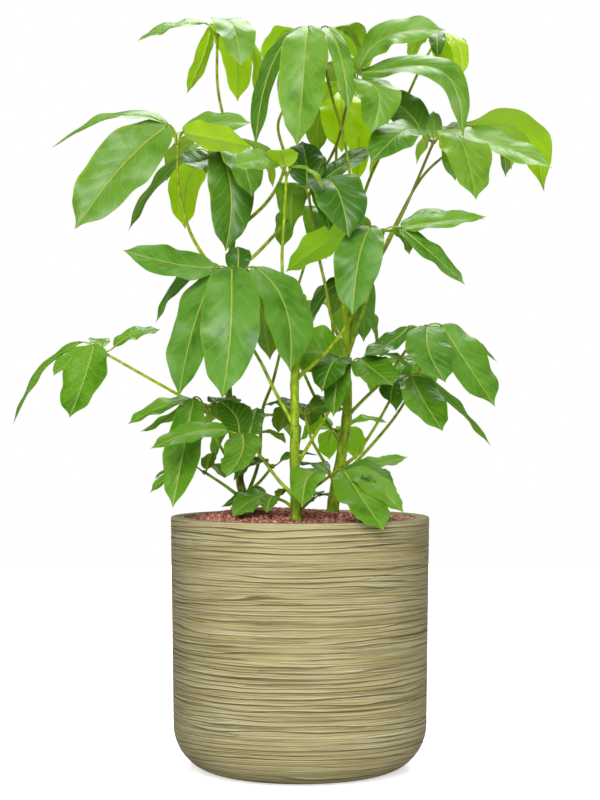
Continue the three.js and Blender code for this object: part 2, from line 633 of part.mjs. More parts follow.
// Closes rows of points (left to right above, then left to right below) into
// a solid. Both faces share their diagonals, so a waved blade never cuts itself.
function loft(rows) {
  const around = rows[0].length;
  const across = around / 2;
  const at = (row, column, face) => row * around + face * across + column;
  const corners = [];
  for (let row = 0; row < rows.length - 1; row += 1) {
    for (let i = 0; i < across - 1; i += 1) {
      const above = [at(row, i, 0), at(row, i + 1, 0), at(row + 1, i + 1, 0), at(row + 1, i, 0)];
      const below = above.map((corner) => corner + across);
      corners.push(...pick(above, [0, 1, 2, 0, 2, 3]), ...pick(below, [0, 2, 1, 0, 3, 2]));
    }
    const leftSide = [at(row, 0, 1), at(row, 0, 0), at(row + 1, 0, 0), at(row + 1, 0, 1)];
    const end = across - 1;
    const rightSide = [at(row, end, 0), at(row, end, 1), at(row + 1, end, 1), at(row + 1, end, 0)];
    corners.push(...pick(leftSide, [0, 1, 2, 0, 2, 3]), ...pick(rightSide, [0, 1, 2, 0, 2, 3]));
  }
  const last = rows.length - 1;
  for (let i = 0; i < across - 1; i += 1) {
    const first = [at(0, i, 0), at(0, i, 1), at(0, i + 1, 1), at(0, i + 1, 0)];
    const final = [at(last, i, 0), at(last, i + 1, 0), at(last, i + 1, 1), at(last, i, 1)];
    corners.push(...pick(first, [0, 1, 2, 0, 2, 3]), ...pick(final, [0, 1, 2, 0, 2, 3]));
  }
  const geometry = new THREE.BufferGeometry();
  const points = rows.flat().flatMap((point) => point.toArray());
  geometry.setAttribute('position', new THREE.Float32BufferAttribute(points, 3));
  geometry.setIndex(corners);
  return geometry;
}

const pick = (list, order) => order.map((i) => list[i]);

function leafGeometry(leaf, index) {
  const hub = vector(leaf.hub);
  const [trunkName, height] = leaf.foot;
  const foot = trunkPoint(trunks[trunkName], height);
  const route = [foot, ...leaf.via.map(vector), hub];
  const curve = new THREE.CatmullRomCurve3(route);
  const stations = route.map((point, i) => {
    const along = i / (route.length - 1);
    const radius = THREE.MathUtils.lerp(petiole.footRadius, petiole.hubRadius, Math.sqrt(along));
    return { point, ahead: curve.getTangent(along), radius };
  });
  const stalk = solidOf(limb(stations, petiole.sides));
  const joint = solidOf(new THREE.OctahedronGeometry(hubRadius).translate(...leaf.hub));
  const blades = leaf.leaflets.map((row, i) => (
    solidOf(leaflet(hub, leaf.rise, row, blade.leafPhase * index + blade.leafletPhase * i))));
  const whole = [joint, ...blades].reduce((a, b) => a.add(b), stalk);
  return geometryOf(mainPiece(whole.subtract(trunkHoles)));
}

// ---- the plant -------------------------------------------------------------

const plant = new THREE.Group();

function addPiece(name, geometry, look) {
  const mesh = new THREE.Mesh(geometry, new THREE.MeshStandardMaterial(look));
  mesh.name = name;
  plant.add(mesh);
}

addPiece('pot', potGeometry(), looks.pot);
addPiece('soil', soilGeometry(), looks.soil);
addPiece('gravel', gravelGeometry(), looks.gravel);
for (const [name, trunk] of Object.entries(trunks)) {
  addPiece(`trunk_${name}`, geometryOf(trunkSolid(trunk, 0)), looks.trunk);
}
leaves.forEach((leaf, index) => {
  const { color } = leafTones.find(({ above }) => leaf.hub[2] > above);
  addPiece(leaf.name, leafGeometry(leaf, index), { ...looks.leaf, color });
});

export default plant;
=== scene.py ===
"""Potted umbrella plant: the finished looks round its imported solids.

The planter is one spun shell with a scored wall. Gravel and soil fill it to just under its
rim. Three trunks stand in them, and each compound leaf is one piece: its petiole, hub,
leaflet stalks and leaflets. Lengths in this file are millimetres unless a setting says
otherwise, and every finished mesh is scaled to metres.
"""
import json
import math
import random
from collections import namedtuple

import bmesh
import bpy
from bpy.props import FloatProperty, FloatVectorProperty, IntProperty, PointerProperty
from mathutils import Matrix, Vector, noise


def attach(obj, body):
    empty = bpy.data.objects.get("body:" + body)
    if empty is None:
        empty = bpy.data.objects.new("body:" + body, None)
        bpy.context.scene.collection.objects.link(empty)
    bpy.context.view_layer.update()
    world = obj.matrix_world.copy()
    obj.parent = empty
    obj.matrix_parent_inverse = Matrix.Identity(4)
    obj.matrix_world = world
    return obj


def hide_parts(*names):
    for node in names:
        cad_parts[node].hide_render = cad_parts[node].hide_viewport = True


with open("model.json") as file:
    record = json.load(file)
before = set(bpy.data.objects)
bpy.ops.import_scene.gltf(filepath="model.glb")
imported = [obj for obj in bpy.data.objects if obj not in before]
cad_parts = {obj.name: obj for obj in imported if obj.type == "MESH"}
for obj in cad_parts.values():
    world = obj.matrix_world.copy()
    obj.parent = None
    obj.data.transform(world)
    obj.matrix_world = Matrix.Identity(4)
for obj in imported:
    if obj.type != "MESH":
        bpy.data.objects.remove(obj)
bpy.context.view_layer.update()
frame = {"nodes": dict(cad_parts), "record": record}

bl_info = {
    "name": "Potted Umbrella Plant",
    "version": (1, 0, 0),
    "blender": (4, 5, 0),
    "location": "View3D > Sidebar > Plant",
    "description": "Builds an umbrella plant in a scored clay planter, piece by piece",
    "category": "Add Mesh",
}

MM = 0.001

# ---- sizes -------------------------------------------------------------------------

PLANTER = {
    "height": 391, "rim_radius": 200, "lower_radius": 196, "foot_radius": 127, "foot_height": 72,
    "inner_rim_radius": 178, "inner_lower_radius": 174, "inner_foot_radius": 123,
    "floor_level": 22, "lip": 2.5,
}
WALL_ROW = 0.66
FOOT_ROW = 0.85
LIP_ROWS = 4
FLOOR_ROWS = 6
INSIDE_LEVELS = ((0, 383), (1, 300), (2, 180))  # (drawn in from the inner rim, level)

SCORED_FROM = (2.88, 11.88)  # where the scoring begins over the foot, and is whole
RIDGE_SHARE = 0.35  # how high ridges stand, to the depth of the lines
WANDER = {"height": 2.0, "length": 230, "pitch": 90}  # all the lines together
# A scored line lies where smooth noise is 0: length is how far it runs before it wanders off
# and pitch how far it is from the next. It shows in patches, from least to least plus more.
ScoredLine = namedtuple("ScoredLine", "shift length pitch reach patch_shift patch shown least more")
SCORED_LINES = (
    ScoredLine((0, 0, 0), 330, 6.4, 0.75, (31, 0), (170, 10), (-0.5, 0.15), 0.15, 0.85),
    ScoredLine((700, 0, 400), 260, 3.8, 0.55, (0, 83), (80, 8), (-0.3, 0.4), 0.1, 0.6),
    ScoredLine((0, 500, 900), 130, 2.9, 0.6, (5, 0), (60, 6), (-0.1, 0.5), 0.0, 0.55),
)

GRAVEL = {
    "wall_level": 386, "mound": 13, "heap": (-74, 62), "heap_reach": 150, "radius": 177.4,
    "layer_depth": 8, "unevenness": 1.3, "uneven_over": 42,
}
# The bed's shade sets it dark: painted shade in the gaps between the loose granules.
BED = {"rows": 30, "steps": 120, "gap": 0.6, "depth": 2.4, "roughness": 0.8, "shade": 0.12}
STONES = {
    "seed": 41, "kinds": 9, "squash": ((0.75, 1.2), (0.75, 1.2), (0.75, 1.1)),
    "chip": (0.82, 1.14), "size": (0.38, 0.56), "shake": 0.42, "tilt": 0.6,
    "lift": (-0.9, 1.3), "shade": (0.52, 0.24), "clear_of_trunks": (2.5, 7.5),
}
CRUMBS = {
    "seed": 17, "reach": 13, "rows": 34, "depth": 7, "roughness": 1.6, "count": 70,
    "away": (0.5, 12), "size": (0.9, 2.1), "lift": (-0.4, 1.0), "chip": 0.35,
}
FULL_TURN = 6.28  # radians

Trunk = namedtuple("Trunk", "radii route scars youth")
TRUNKS = {
    "left": Trunk((6.6, 4.6), [
        (-82, 38, 352), (-82, 38, 391), (-91, 38, 430), (-98, 40, 462), (-105, 42, 508),
        (-112, 44, 576), (-113, 46, 670), (-111, 46, 767), (-104, 46, 836), (-100, 46, 866),
    ], [436, 476, 530, 618, 700, 768], 0.08),
    "centre": Trunk((8.2, 5.4), [
        (-5, -102, 352), (-5, -102, 391), (-7, -101, 430), (-8, -100, 511), (-8, -98, 571),
        (-7, -96, 616), (-1, -94, 650), (3, -92, 690), (5, -92, 722),
    ], [425, 480, 531, 556, 594, 650], 0.32),
    "right": Trunk((9.6, 6.0), [
        (52, 85, 352), (52, 85, 391), (56, 84, 428), (66, 82, 484), (74, 78, 542),
        (75, 75, 587), (72, 72, 639), (73, 70, 684), (75, 70, 724),
    ], [414, 462, 500, 545, 600, 648], 0.5),
}
TRUNK_SIDES = 28
TRUNK_ROW = 2.2
TRUNK_FOOT = 352
TIP_LENGTH = 9
TIP_ROWS = 5
SCARS = {
    "turn": 2.4, "far_apart": 40, "stray": 6, "lean": 3.5, "swelling": (2.5, 6.5),
    "ring": 0.9, "crescent": (3.4, 2.6), "crescent_side": (0.55, 0.85),
}
ROOT_FLARE = {"share": 0.22, "level": 384, "reach": 12}

PETIOLE_RADII = (3.3, 2.1)
PETIOLE_FOOT = (0.5, 14)  # how much thicker it is there, and over what length
PETIOLE_TOP = (0.25, 7)
PETIOLE_SIDES = 12
PETIOLE_ROW = 6
PETIOLULE_SHARE = 0.2
PETIOLULE_SPAN = (10, 36)
PETIOLULE_RADIUS = 1.35
PETIOLULE_OFFSET = 2.4
PETIOLULE_SIDES = 9
PETIOLULE_ROW = 2.5
HUB_RADIUS = 4.0
HUB_LOOK = (0.14, 0.55)  # how uneven and how brown it is

BLADE_COLUMNS = 10
BLADE_ROWS = 36
ROW_EASING = 0.38
COLUMN_CROWDING = 1.4
END_TAPER = 12
WIDEST = 0.42
OUTER_CURVE = 2.2
TAPER = 0.75
DRIP = 0.72
DRIP_START = 0.72
BOW_IN = 0.9
BOW_OUT = 1.2
LATE_ARCH = 45
WAVES = 2.4
SMALL_WAVES = 4.3
LEAF_PHASE = 12
LEAFLET_PHASE = 2.4
TEETH = 9.0
TOOTHED_FROM = (0.45, 0.6)
VEIN_SLANT = 0.25
VEIN_BEND = 0.9
VEIN_SHIFT = 0.21
RIB_REACH = 1.5
RIB_DIP = 0.9
RIB_KEEL = 1.5

# Every leaf stands on a trunk at a given height (foot), runs up its petiole (via, from the
# trunk to the hub) and spreads its leaflets round the hub. Their stalks leave the hub at the
# angle rise over level, in degrees.
# A leaflet is (x, y, z from hub to tip, width, arch, roll in degrees), and where its midrib
# curves to one side, how far it does.
# Tones say how young each leaflet looks, and how much painted light it carries: 0 is an old
# dark blade that is also painted with shade, 0.45 a full-grown one and 1 a young yellow one
# whose yellow and glow are partly painted backlight. Ruddy is how brown the stalks are, and
# teeth how deep the blades' teeth.
Leaf = namedtuple("Leaf", "name hub foot rise via leaflets tones ruddy teeth",
                  defaults=((), 0.12, 0))
LEAVES = [
    Leaf("top_left", (-130, 40, 1144), ("left", 846), 45,
         [(-80, 82, 886), (-98, 128, 934), (-115, 86, 996), (-129, 44, 1060)],
         [(-125, -14, -12, 54, 8, 20), (-50, 42, -86, 34, -8, 0), (40, -112, -68, 64, 22, 0),
          (22, 118, -36, 55, 28, 0), (30, 62, -96, 50, 24, 10), (59, -20, -102, 34, 24, -10)],
         tones=(0.45, 0.75, 0.5, 0.8, 0.92, 0.8)),
    Leaf("top_middle", (26, -20, 1136), ("right", 700), 8,
         [(83, 44, 760), (84, 16, 836), (76, -22, 925), (66, -26, 980), (50, -30, 1033)],
         [(-31, -88, -187, 78, 34, 0, 12), (-84, 62, -40, 48, 26, 0), (-94, -80, -187, 42, 24, 10),
          (47, -104, -138, 32, 18, -10), (79, 46, -37, 52, 30, 0), (84, 112, -42, 52, 30, 0),
          (-18, 120, -70, 56, 34, 0)],
         tones=(0.42, 0.9, 0.12, 0.42, 0.5, 0.8, 0.6), ruddy=0.5),
    Leaf("top_right", (76, -20, 1043), ("left", 770), 66,
         [(-76, 54, 795), (-26, 72, 849), (13, 68, 896), (34, 50, 928), (58, 10, 972)],
         [(30, -70, -72, 72, 30, 0, 20), (146, -30, 93, 70, 30, -46), (170, -80, -81, 58, 68, -40),
          (-42, 62, -6, 42, 14, 0)],
         tones=(0.5, 0.46, 0.34, 0.8), ruddy=0.8),
    Leaf("crown_right", (218, 90, 1146), ("right", 712), 25,
         [(85, 78, 800), (104, 92, 904), (140, 92, 985), (165, 92, 1041), (192, 90, 1100)],
         [(34, 52, -62, 46, 28, 0), (36, -42, -66, 34, 16, -10), (-4, -72, -42, 26, 12, 0),
          (-40, 42, -26, 34, 14, 0), (46, 24, -34, 34, 14, 0), (14, 92, -30, 36, 20, 0)],
         tones=(0.9, 0.85, 0.1, 0.5, 0.8, 0.7)),
    Leaf("upper_left", (-189, -20, 961), ("left", 756), 68,
         [(-140, 16, 782), (-165, 0, 820), (-178, -12, 855), (-188, -20, 908)],
         [(-151, -64, -132, 98, 11, 54), (-199, 22, 0, 56, 30, 20), (-22, 92, 20, 24, 8, 0),
          (116, -46, -5, 58, 0, 44), (114, 20, 40, 50, 8, -42)],
         tones=(0.3, 0.5, 0.9, 0.85, 0.5), ruddy=0.3),
    Leaf("upper_left_inner", (-132, 88, 948), ("left", 812), 40,
         [(-110, 72, 866)],
         [(-142, 0, -108, 48, 16, 24), (-56, 84, -98, 62, 22, 0, 10), (-52, -58, -6, 56, -4, 40),
          (59, -112, -65, 66, 26, 0), (16, -72, -146, 72, 18, 0, 10), (46, -46, -10, 40, 10, -20)],
         tones=(0.5, 0.92, 0.08, 0.3, 0.12, 0.3)),
    Leaf("young_front", (-20, -130, 907), ("centre", 664), 50,
         [(-20, -84, 706), (-27, -92, 777), (-24, -116, 836)],
         [(-79, -28, 9, 42, 8, 48), (-60, 36, 18, 44, 14, -10), (-12, -48, 30, 44, 10, 0),
          (54, -22, -24, 30, 12, 0)],
         tones=(0.5, 0.8, 0.82, 0.7)),
    Leaf("upper_middle", (13, -34, 886), ("right", 648), 42,
         [(49, 8, 698), (39, -15, 748), (25, -27, 809), (18, -34, 855)],
         [(60, -102, -74, 84, 32, -12), (31, -62, -62, 38, 14, 0), (-26, 68, -42, 56, 36, 0),
          (104, 84, 86, 40, 2, -24), (26, 20, 62, 34, 4, 0), (-10, 62, 90, 62, 6, 0)],
         tones=(0.15, 0.3, 0.5, 0.12, 0.2, 0.0), ruddy=0.6),
    Leaf("upper_back", (60, 130, 1055), ("right", 690), 30,
         [(64, 64, 760), (58, 112, 893)],
         [(32, 44, -132, 46, 28, 0), (52, -22, -134, 44, 26, 0), (-30, 52, -80, 50, 26, 0),
          (80, 46, -52, 50, 26, 0), (-80, 22, -40, 48, 24, 0), (6, -60, -92, 72, 18, 0)],
         tones=(0.95, 0.85, 0.05, 0.3, 0.05, 0.95)),
    Leaf("middle_right", (122, -60, 828), ("right", 630), 8,
         [(86, 40, 672), (106, -28, 740)],
         [(165, 44, 22, 56, 12, -26), (160, -24, 20, 46, 2, -36), (126, -46, -85, 46, 2, -28),
          (-45, -96, -133, 74, 20, 8), (-144, 6, -62, 68, 8, -36), (-20, 74, -50, 46, 20, 0),
          (46, 24, -35, 40, 14, 0)],
         tones=(0.5, 0.7, 0.45, 0.34, 0.95, 0.1, 0.3)),
    Leaf("upper_right", (207, 0, 971), ("centre", 600), 34,
         [(43, -62, 647), (78, -42, 697), (111, -22, 768), (133, -12, 807), (165, -5, 873)],
         [(-101, -82, -42, 76, 18, 24, 10), (-79, 66, 86, 56, 8, 52), (60, -76, -97, 88, 32, -8, -12),
          (178, -52, -46, 66, 4, -36), (179, 62, -71, 86, 64, 20), (104, 96, 30, 46, 14, 0),
          (2, 34, 53, 26, 4, 0)],
         tones=(0.2, 0.15, 0.6, 0.5, 0.68, 0.3, 0.5), ruddy=0.75),
    Leaf("middle_left", (-94, -90, 756), ("centre", 532), 24,
         [(-37, -94, 583), (-57, -92, 624), (-76, -90, 661)],
         [(-170, -34, 38, 60, -6, 52), (-128, 52, -68, 44, 24, 44), (-86, -52, -182, 84, 8, 16, -2),
          (-20, -92, -184, 90, 26, 0, 12), (80, -68, -144, 84, 24, -14, 6), (-2, 72, 52, 40, 6, 0),
          (48, 84, -124, 60, 10, 0)],
         tones=(0.5, 0.5, 0.36, 0.46, 0.4, 0.05, 0.2)),
    Leaf("inner_right", (108, 106, 753), ("right", 668), 30,
         [(92, 92, 712)],
         [(-8, -62, -92, 36, 20, 0), (-90, 40, -26, 40, 16, 0), (-94, -6, -56, 46, 16, 24),
          (-12, -40, -70, 28, 10, 0), (-56, 88, -46, 44, 22, 0)],
         tones=(0.6, 0.1, 0.1, 0.6, 0.1)),
    Leaf("centre_right", (79, 10, 629), ("centre", 468), 16,
         [(17, -74, 509), (36, -44, 540), (55, -12, 571), (74, 6, 606)],
         [(97, -40, -14, 44, 16, 0), (62, -82, -36, 60, 0, -30), (-94, -14, 12, 92, 8, 58),
          (-46, -78, -46, 58, 18, 10), (-28, -56, -84, 44, 14, 0)],
         tones=(0.3, 0.28, 0.62, 0.1, 0.2), ruddy=0.6),
    Leaf("lower_right", (187, 0, 681), ("right", 545), 10,
         [(102, 40, 574), (134, 12, 606), (160, 0, 642)],
         [(32, -96, -84, 74, 6, 0, -14), (110, -58, -120, 84, 4, -28, -10), (-90, -40, -42, 44, -6, 26),
          (124, 52, -50, 34, 6, 0), (12, 112, -40, 54, 10, 0), (-62, 56, -44, 40, 4, 0)],
         tones=(0.34, 0.56, 0.28, 0.5, 0.1, 0.1), ruddy=0.35),
    Leaf("lower_right_inner", (159, 60, 603), ("right", 462), 12,
         [(88, 74, 482), (107, 66, 510), (130, 62, 548)],
         [(60, -98, -80, 66, 4, -12, -8), (145, 12, -106, 44, 4, -22), (-14, 66, -14, 38, 10, 0),
          (-18, -40, -36, 44, 8, 0)],
         tones=(0.28, 0.6, 0.3, 0.05), ruddy=0.4),
    Leaf("rim_front", (47, -110, 459), ("centre", 418), 16,
         [(22, -106, 440)],
         [(-44, -52, -46, 58, 22, 8), (75, -92, -78, 78, 2, -12, -4), (96, -18, -18, 52, 10, -30),
          (106, -54, -54, 52, 8, -26), (117, 36, 26, 40, 0, -22), (-46, 66, 12, 42, 8, 0)],
         tones=(0.42, 0.42, 0.2, 0.62, 0.45, 0.1), teeth=0.14),
    Leaf("far_left", (-305, 0, 645), ("left", 530), 26,
         [(-143, 24, 552), (-189, 12, 579), (-247, 2, 612)],
         [(-43, -84, -101, 76, 4, 0, 6), (88, 22, 36, 42, 8, -24), (-143, 12, -113, 36, 20, 26),
          (-85, 62, -36, 46, 8, 0), (-22, 92, 24, 34, 4, 0)],
         tones=(0.5, 0.5, 0.5, 0.85, 0.5)),
    Leaf("lower_left", (-143, -40, 559), ("left", 458), 28,
         [(-115, 8, 484), (-128, -20, 510), (-138, -34, 536)],
         [(-119, -28, -25, 50, 7, 20), (-106, 46, -38, 40, -4, 32), (-48, -66, -150, 64, 2, 8),
          (46, 62, 5, 46, 8, 0), (6, 46, -16, 34, 8, 0)],
         tones=(0.42, 0.64, 0.34, 0.1, 0.2)),
    Leaf("low_front", (-79, -104, 515), ("centre", 426), 18,
         [(-28, -104, 446), (-44, -103, 466), (-60, -103, 488)],
         [(-142, -54, -16, 44, 10, 36), (-30, -76, -58, 62, 6, -6, 16), (-45, 24, 57, 58, 4, 34, -14),
          (14, 52, 45, 38, 6, 0), (58, 34, -10, 40, 10, 0)],
         tones=(0.36, 0.28, 0.08, 0.08, 0.3), teeth=0.08),
    Leaf("low_left", (-151, 60, 457), ("left", 414), 30,
         [(-118, 52, 436)],
         [(14, -26, 32, 26, 4, 0), (-85, -24, -32, 36, 8, 16), (-82, 32, -13, 32, 12, 0),
          (30, 62, -12, 40, 12, 0)],
         tones=(0.4, 0.5, 0.5, 0.4), teeth=0.12),
    Leaf("gravel_left", (-36, -64, 422), ("centre", 404), 20,
         [(-20, -84, 416)],
         [(-66, -30, -26, 54, 6, 24), (12, -26, 16, 20, 2, 0), (-86, 34, -16, 40, 6, 30),
          (-14, -46, -20, 30, 8, 0)],
         tones=(0.45, 0.3, 0.08, 0.2), teeth=0.16),
    Leaf("centre_low", (7, 20, 548), ("right", 428), 30,
         [(47, 66, 457), (29, 42, 489), (18, 26, 510)],
         [(-65, 32, 15, 46, 8, 14), (62, 24, 8, 46, 8, -38), (10, 92, -20, 50, 18, 0),
          (-42, 72, -30, 46, 16, 0)],
         tones=(0.2, 0.3, 0.1, 0.1), teeth=0.08),
    Leaf("low_right_back", (62, 150, 519), ("right", 482), 30,
         [(64, 120, 500)],
         [(30, 60, -47, 48, 14, 0), (-14, 20, -46, 42, 12, 0), (-62, 32, -14, 46, 12, 36),
          (81, 10, 15, 34, 10, -14)],
         tones=(0.95, 0.95, 0.85, 0.85)),
    Leaf("low_middle", (-43, 40, 467), ("left", 420), 30,
         [(-62, 38, 444)],
         [(-61, -32, -22, 34, 10, 10), (-46, 22, 10, 30, 6, 0), (72, 22, 17, 34, 8, -10)],
         teeth=0.12),
    Leaf("seedling", (18, -62, 420), ("centre", 402), 30,
         [(8, -80, 412)],
         [(32, -12, 4, 24, 4, 0), (14, 30, 8, 22, 4, 0), (-18, 26, 6, 20, 4, 0)]),
    Leaf("back_left", (-90, 200, 736), ("right", 498), 36,
         [(41, 108, 539), (20, 130, 584), (-8, 164, 640)],
         [(-118, 34, -56, 58, 30, 0), (-52, 122, -60, 60, 30, 0), (66, 92, -66, 60, 28, 0),
          (64, -34, -84, 56, 26, 0), (-60, -54, -96, 56, 26, 0)]),
    Leaf("back_upper_left", (-132, 196, 983), ("left", 792), 36,
         [(-112, 100, 850), (-112, 176, 925)],
         [(-92, 62, -46, 56, 28, 0), (10, 124, -52, 58, 28, 0), (88, 40, -60, 56, 28, 0),
          (46, -46, -84, 52, 24, 0), (-62, -30, -82, 50, 24, 0)]),
    Leaf("back_top", (24, 184, 1112), ("left", 834), 30,
         [(-50, 56, 886), (-24, 110, 950), (-34, 172, 1030)],
         [(-92, 32, -52, 56, 28, 0), (-46, 112, -60, 58, 28, 0), (60, 102, -52, 56, 28, 0),
          (98, 26, -46, 52, 26, 0)]),
    Leaf("back_upper_right", (276, 174, 1000), ("right", 602), 36,
         [(85, 118, 709), (118, 138, 779), (160, 150, 866), (204, 158, 940)],
         [(76, 60, -46, 54, 28, 0), (-12, 112, -52, 56, 28, 0), (-84, 40, -40, 54, 26, 0),
          (-26, -46, -76, 46, 24, 0), (56, -40, -70, 46, 24, 0)]),
    Leaf("back_middle", (51, 232, 721), ("right", 562), 36,
         [(64, 140, 610), (56, 200, 670)],
         [(-58, 86, -50, 58, 24, 0), (36, 112, -56, 58, 28, 0), (78, 20, -64, 52, 26, 0),
          (-56, -30, -84, 52, 26, 0)]),
    Leaf("back_lower_right", (200, 200, 624), ("right", 442), 36,
         [(104, 120, 486), (164, 176, 556)],
         [(84, 46, -44, 56, 28, 0), (10, 118, -56, 58, 28, 0), (-82, 58, -46, 54, 26, 0),
          (-44, -46, -72, 50, 24, 0)]),
    Leaf("back_lower_left", (-81, 184, 530), ("left", 438), 36,
         [(-90, 90, 466), (-86, 146, 500)],
         [(-96, 40, -42, 54, 24, 0), (-20, 110, -46, 56, 26, 0), (80, 56, -40, 52, 24, 0),
          (-58, -34, -56, 46, 20, 0)]),
    Leaf("back_high", (30, 186, 874), ("left", 412), 36,
         [(-66, 84, 472), (-60, 110, 555), (-44, 128, 600), (-20, 140, 700), (10, 170, 800)],
         [(-60, 56, -52, 54, 26, 0), (2, 118, -56, 56, 28, 0), (84, 50, -50, 54, 26, 0),
          (12, -48, -76, 48, 22, 0)]),
]


# ---- shaping ------------------------------------------------------------------------


def ease(value, low, high):
    """0 below low, 1 above high, and a soft step between them."""
    share = min(max((value - low) / (high - low), 0.0), 1.0)
    return share * share * (3 - 2 * share)


def hump(distance, reach):
    """A smooth bump: 1 at distance 0, and almost gone one and a half reaches away."""
    return math.exp(-((distance / reach) ** 2))


def ripple(x, y, z):
    """Smooth noise at a point, from about -1 to 1."""
    return noise.noise(Vector((x, y, z)))


def curve_through(points, step):
    """Points about a step apart on one smooth curve through the given points."""
    points = [Vector(point) for point in points]
    ends = [2 * points[0] - points[1], *points, 2 * points[-1] - points[-2]]
    path = [points[0]]
    for before, start, end, after in zip(ends, ends[1:], ends[2:], ends[3:]):
        first = math.sqrt((start - before).length)
        middle = math.sqrt((end - start).length)
        third = math.sqrt((after - end).length)
        leave = (start - before) / first - (end - before) / (first + middle)
        leave = leave * middle + (end - start)
        arrive = (after - end) / third - (after - start) / (middle + third)
        arrive = arrive * middle + (end - start)
        count = max(1, round((end - start).length / step))
        for index in range(1, count + 1):
            t = index / count
            square = 3 * (end - start) - 2 * leave - arrive
            cube = 2 * (start - end) + leave + arrive
            path.append(start + leave * t + square * t * t + cube * t ** 3)
    return path


def path_length(path):
    """How long the path is."""
    return sum((end - start).length for start, end in zip(path, path[1:]))


def shares_along(path):
    """How far along the path each point lies, from 0 to 1."""
    lengths = [0.0]
    for start, end in zip(path, path[1:]):
        lengths.append(lengths[-1] + (end - start).length)
    return [length / lengths[-1] for length in lengths]


def frames_along(path):
    """Two directions square to the path at each point, which turn no more than it does."""
    last = len(path) - 1
    ahead = [(path[min(i + 1, last)] - path[max(i - 1, 0)]).normalized() for i in range(last + 1)]
    side = ahead[0].orthogonal().normalized()
    frames = []
    for direction in ahead:
        side = (side - direction * side.dot(direction)).normalized()
        frames.append((side, direction.cross(side)))
    return frames


def rolled_tube(bm, path, radii, sides):
    """A tube round the path, rolled up from a grid, with both ends drawn in to a point.
    Returns each vertex with its station on the path and its angle round it."""
    rows = len(path) + 2
    grid = bmesh.ops.create_grid(bm, x_segments=sides, y_segments=rows - 1, size=1)["verts"]
    frames = frames_along(path)
    spots = []
    for vert in grid:
        row = round((vert.co.y + 1) / 2 * (rows - 1))
        angle = (vert.co.x + 1) * math.pi
        station = min(max(row - 1, 0), len(path) - 1)
        radius = 0 if row in (0, rows - 1) else radii[station]
        side, up = frames[station]
        vert.co = path[station] + (side * math.cos(angle) + up * math.sin(angle)) * radius
        spots.append((vert, station, angle))
    return spots


def smooth_outwards(bm, faces):
    """Turns faces outwards and shades them smoothly."""
    bmesh.ops.recalc_face_normals(bm, faces=faces)
    for face in faces:
        face.smooth = True


def close_seams(bm, verts):
    """Joins what lies in one place, and turns the faces outwards."""
    faces = list({face for vert in verts for face in vert.link_faces})
    bmesh.ops.remove_doubles(bm, verts=verts, dist=0.002)
    faces = [face for face in faces if face.is_valid]
    smooth_outwards(bm, faces)
    return faces


def spin_section(bm, section, steps):
    """Spins a section, given as (radius, level) points, once round the upright axis."""
    points = [bm.verts.new((radius, 0, level)) for radius, level in section]
    for start, end in zip(points, points[1:]):
        bm.edges.new((start, end))
    bmesh.ops.spin(bm, geom=bm.verts[:] + bm.edges[:], cent=(0, 0, 0), axis=(0, 0, 1),
                   angle=2 * math.pi, steps=steps, use_merge=True)


def put_in_scene(name, data):
    """A new object with its data, in the scene."""
    thing = bpy.data.objects.new(name, data)
    bpy.context.scene.collection.objects.link(thing)
    return thing


def mesh_of(bm, name):
    """The mesh that a bmesh has grown into."""
    mesh = bpy.data.meshes.new(name)
    bm.to_mesh(mesh)
    bm.free()
    return mesh


def finish_piece(bm, name, materials, stands_for=()):
    """Turns a bmesh in millimetres into a piece of the object, in metres."""
    bmesh.ops.scale(bm, vec=Vector((MM, MM, MM)), verts=bm.verts)
    piece = put_in_scene(name, mesh_of(bm, name))
    for material in materials:
        piece.data.materials.append(material)
    if stands_for:
        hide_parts(*stands_for)
    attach(piece, "root")
    return piece


# ---- materials ----------------------------------------------------------------------


UNLIT = (0.0, 0.0, 0.0, 1.0)
WHITE = (1.0, 1.0, 1.0, 1.0)


def srgb(red, green, blue):
    """A colour given in 0 to 255, as Blender's linear red, green and blue."""
    shares = [channel / 255 for channel in (red, green, blue)]
    return tuple(s / 12.92 if s <= 0.04045 else ((s + 0.055) / 1.055) ** 2.4 for s in shares)


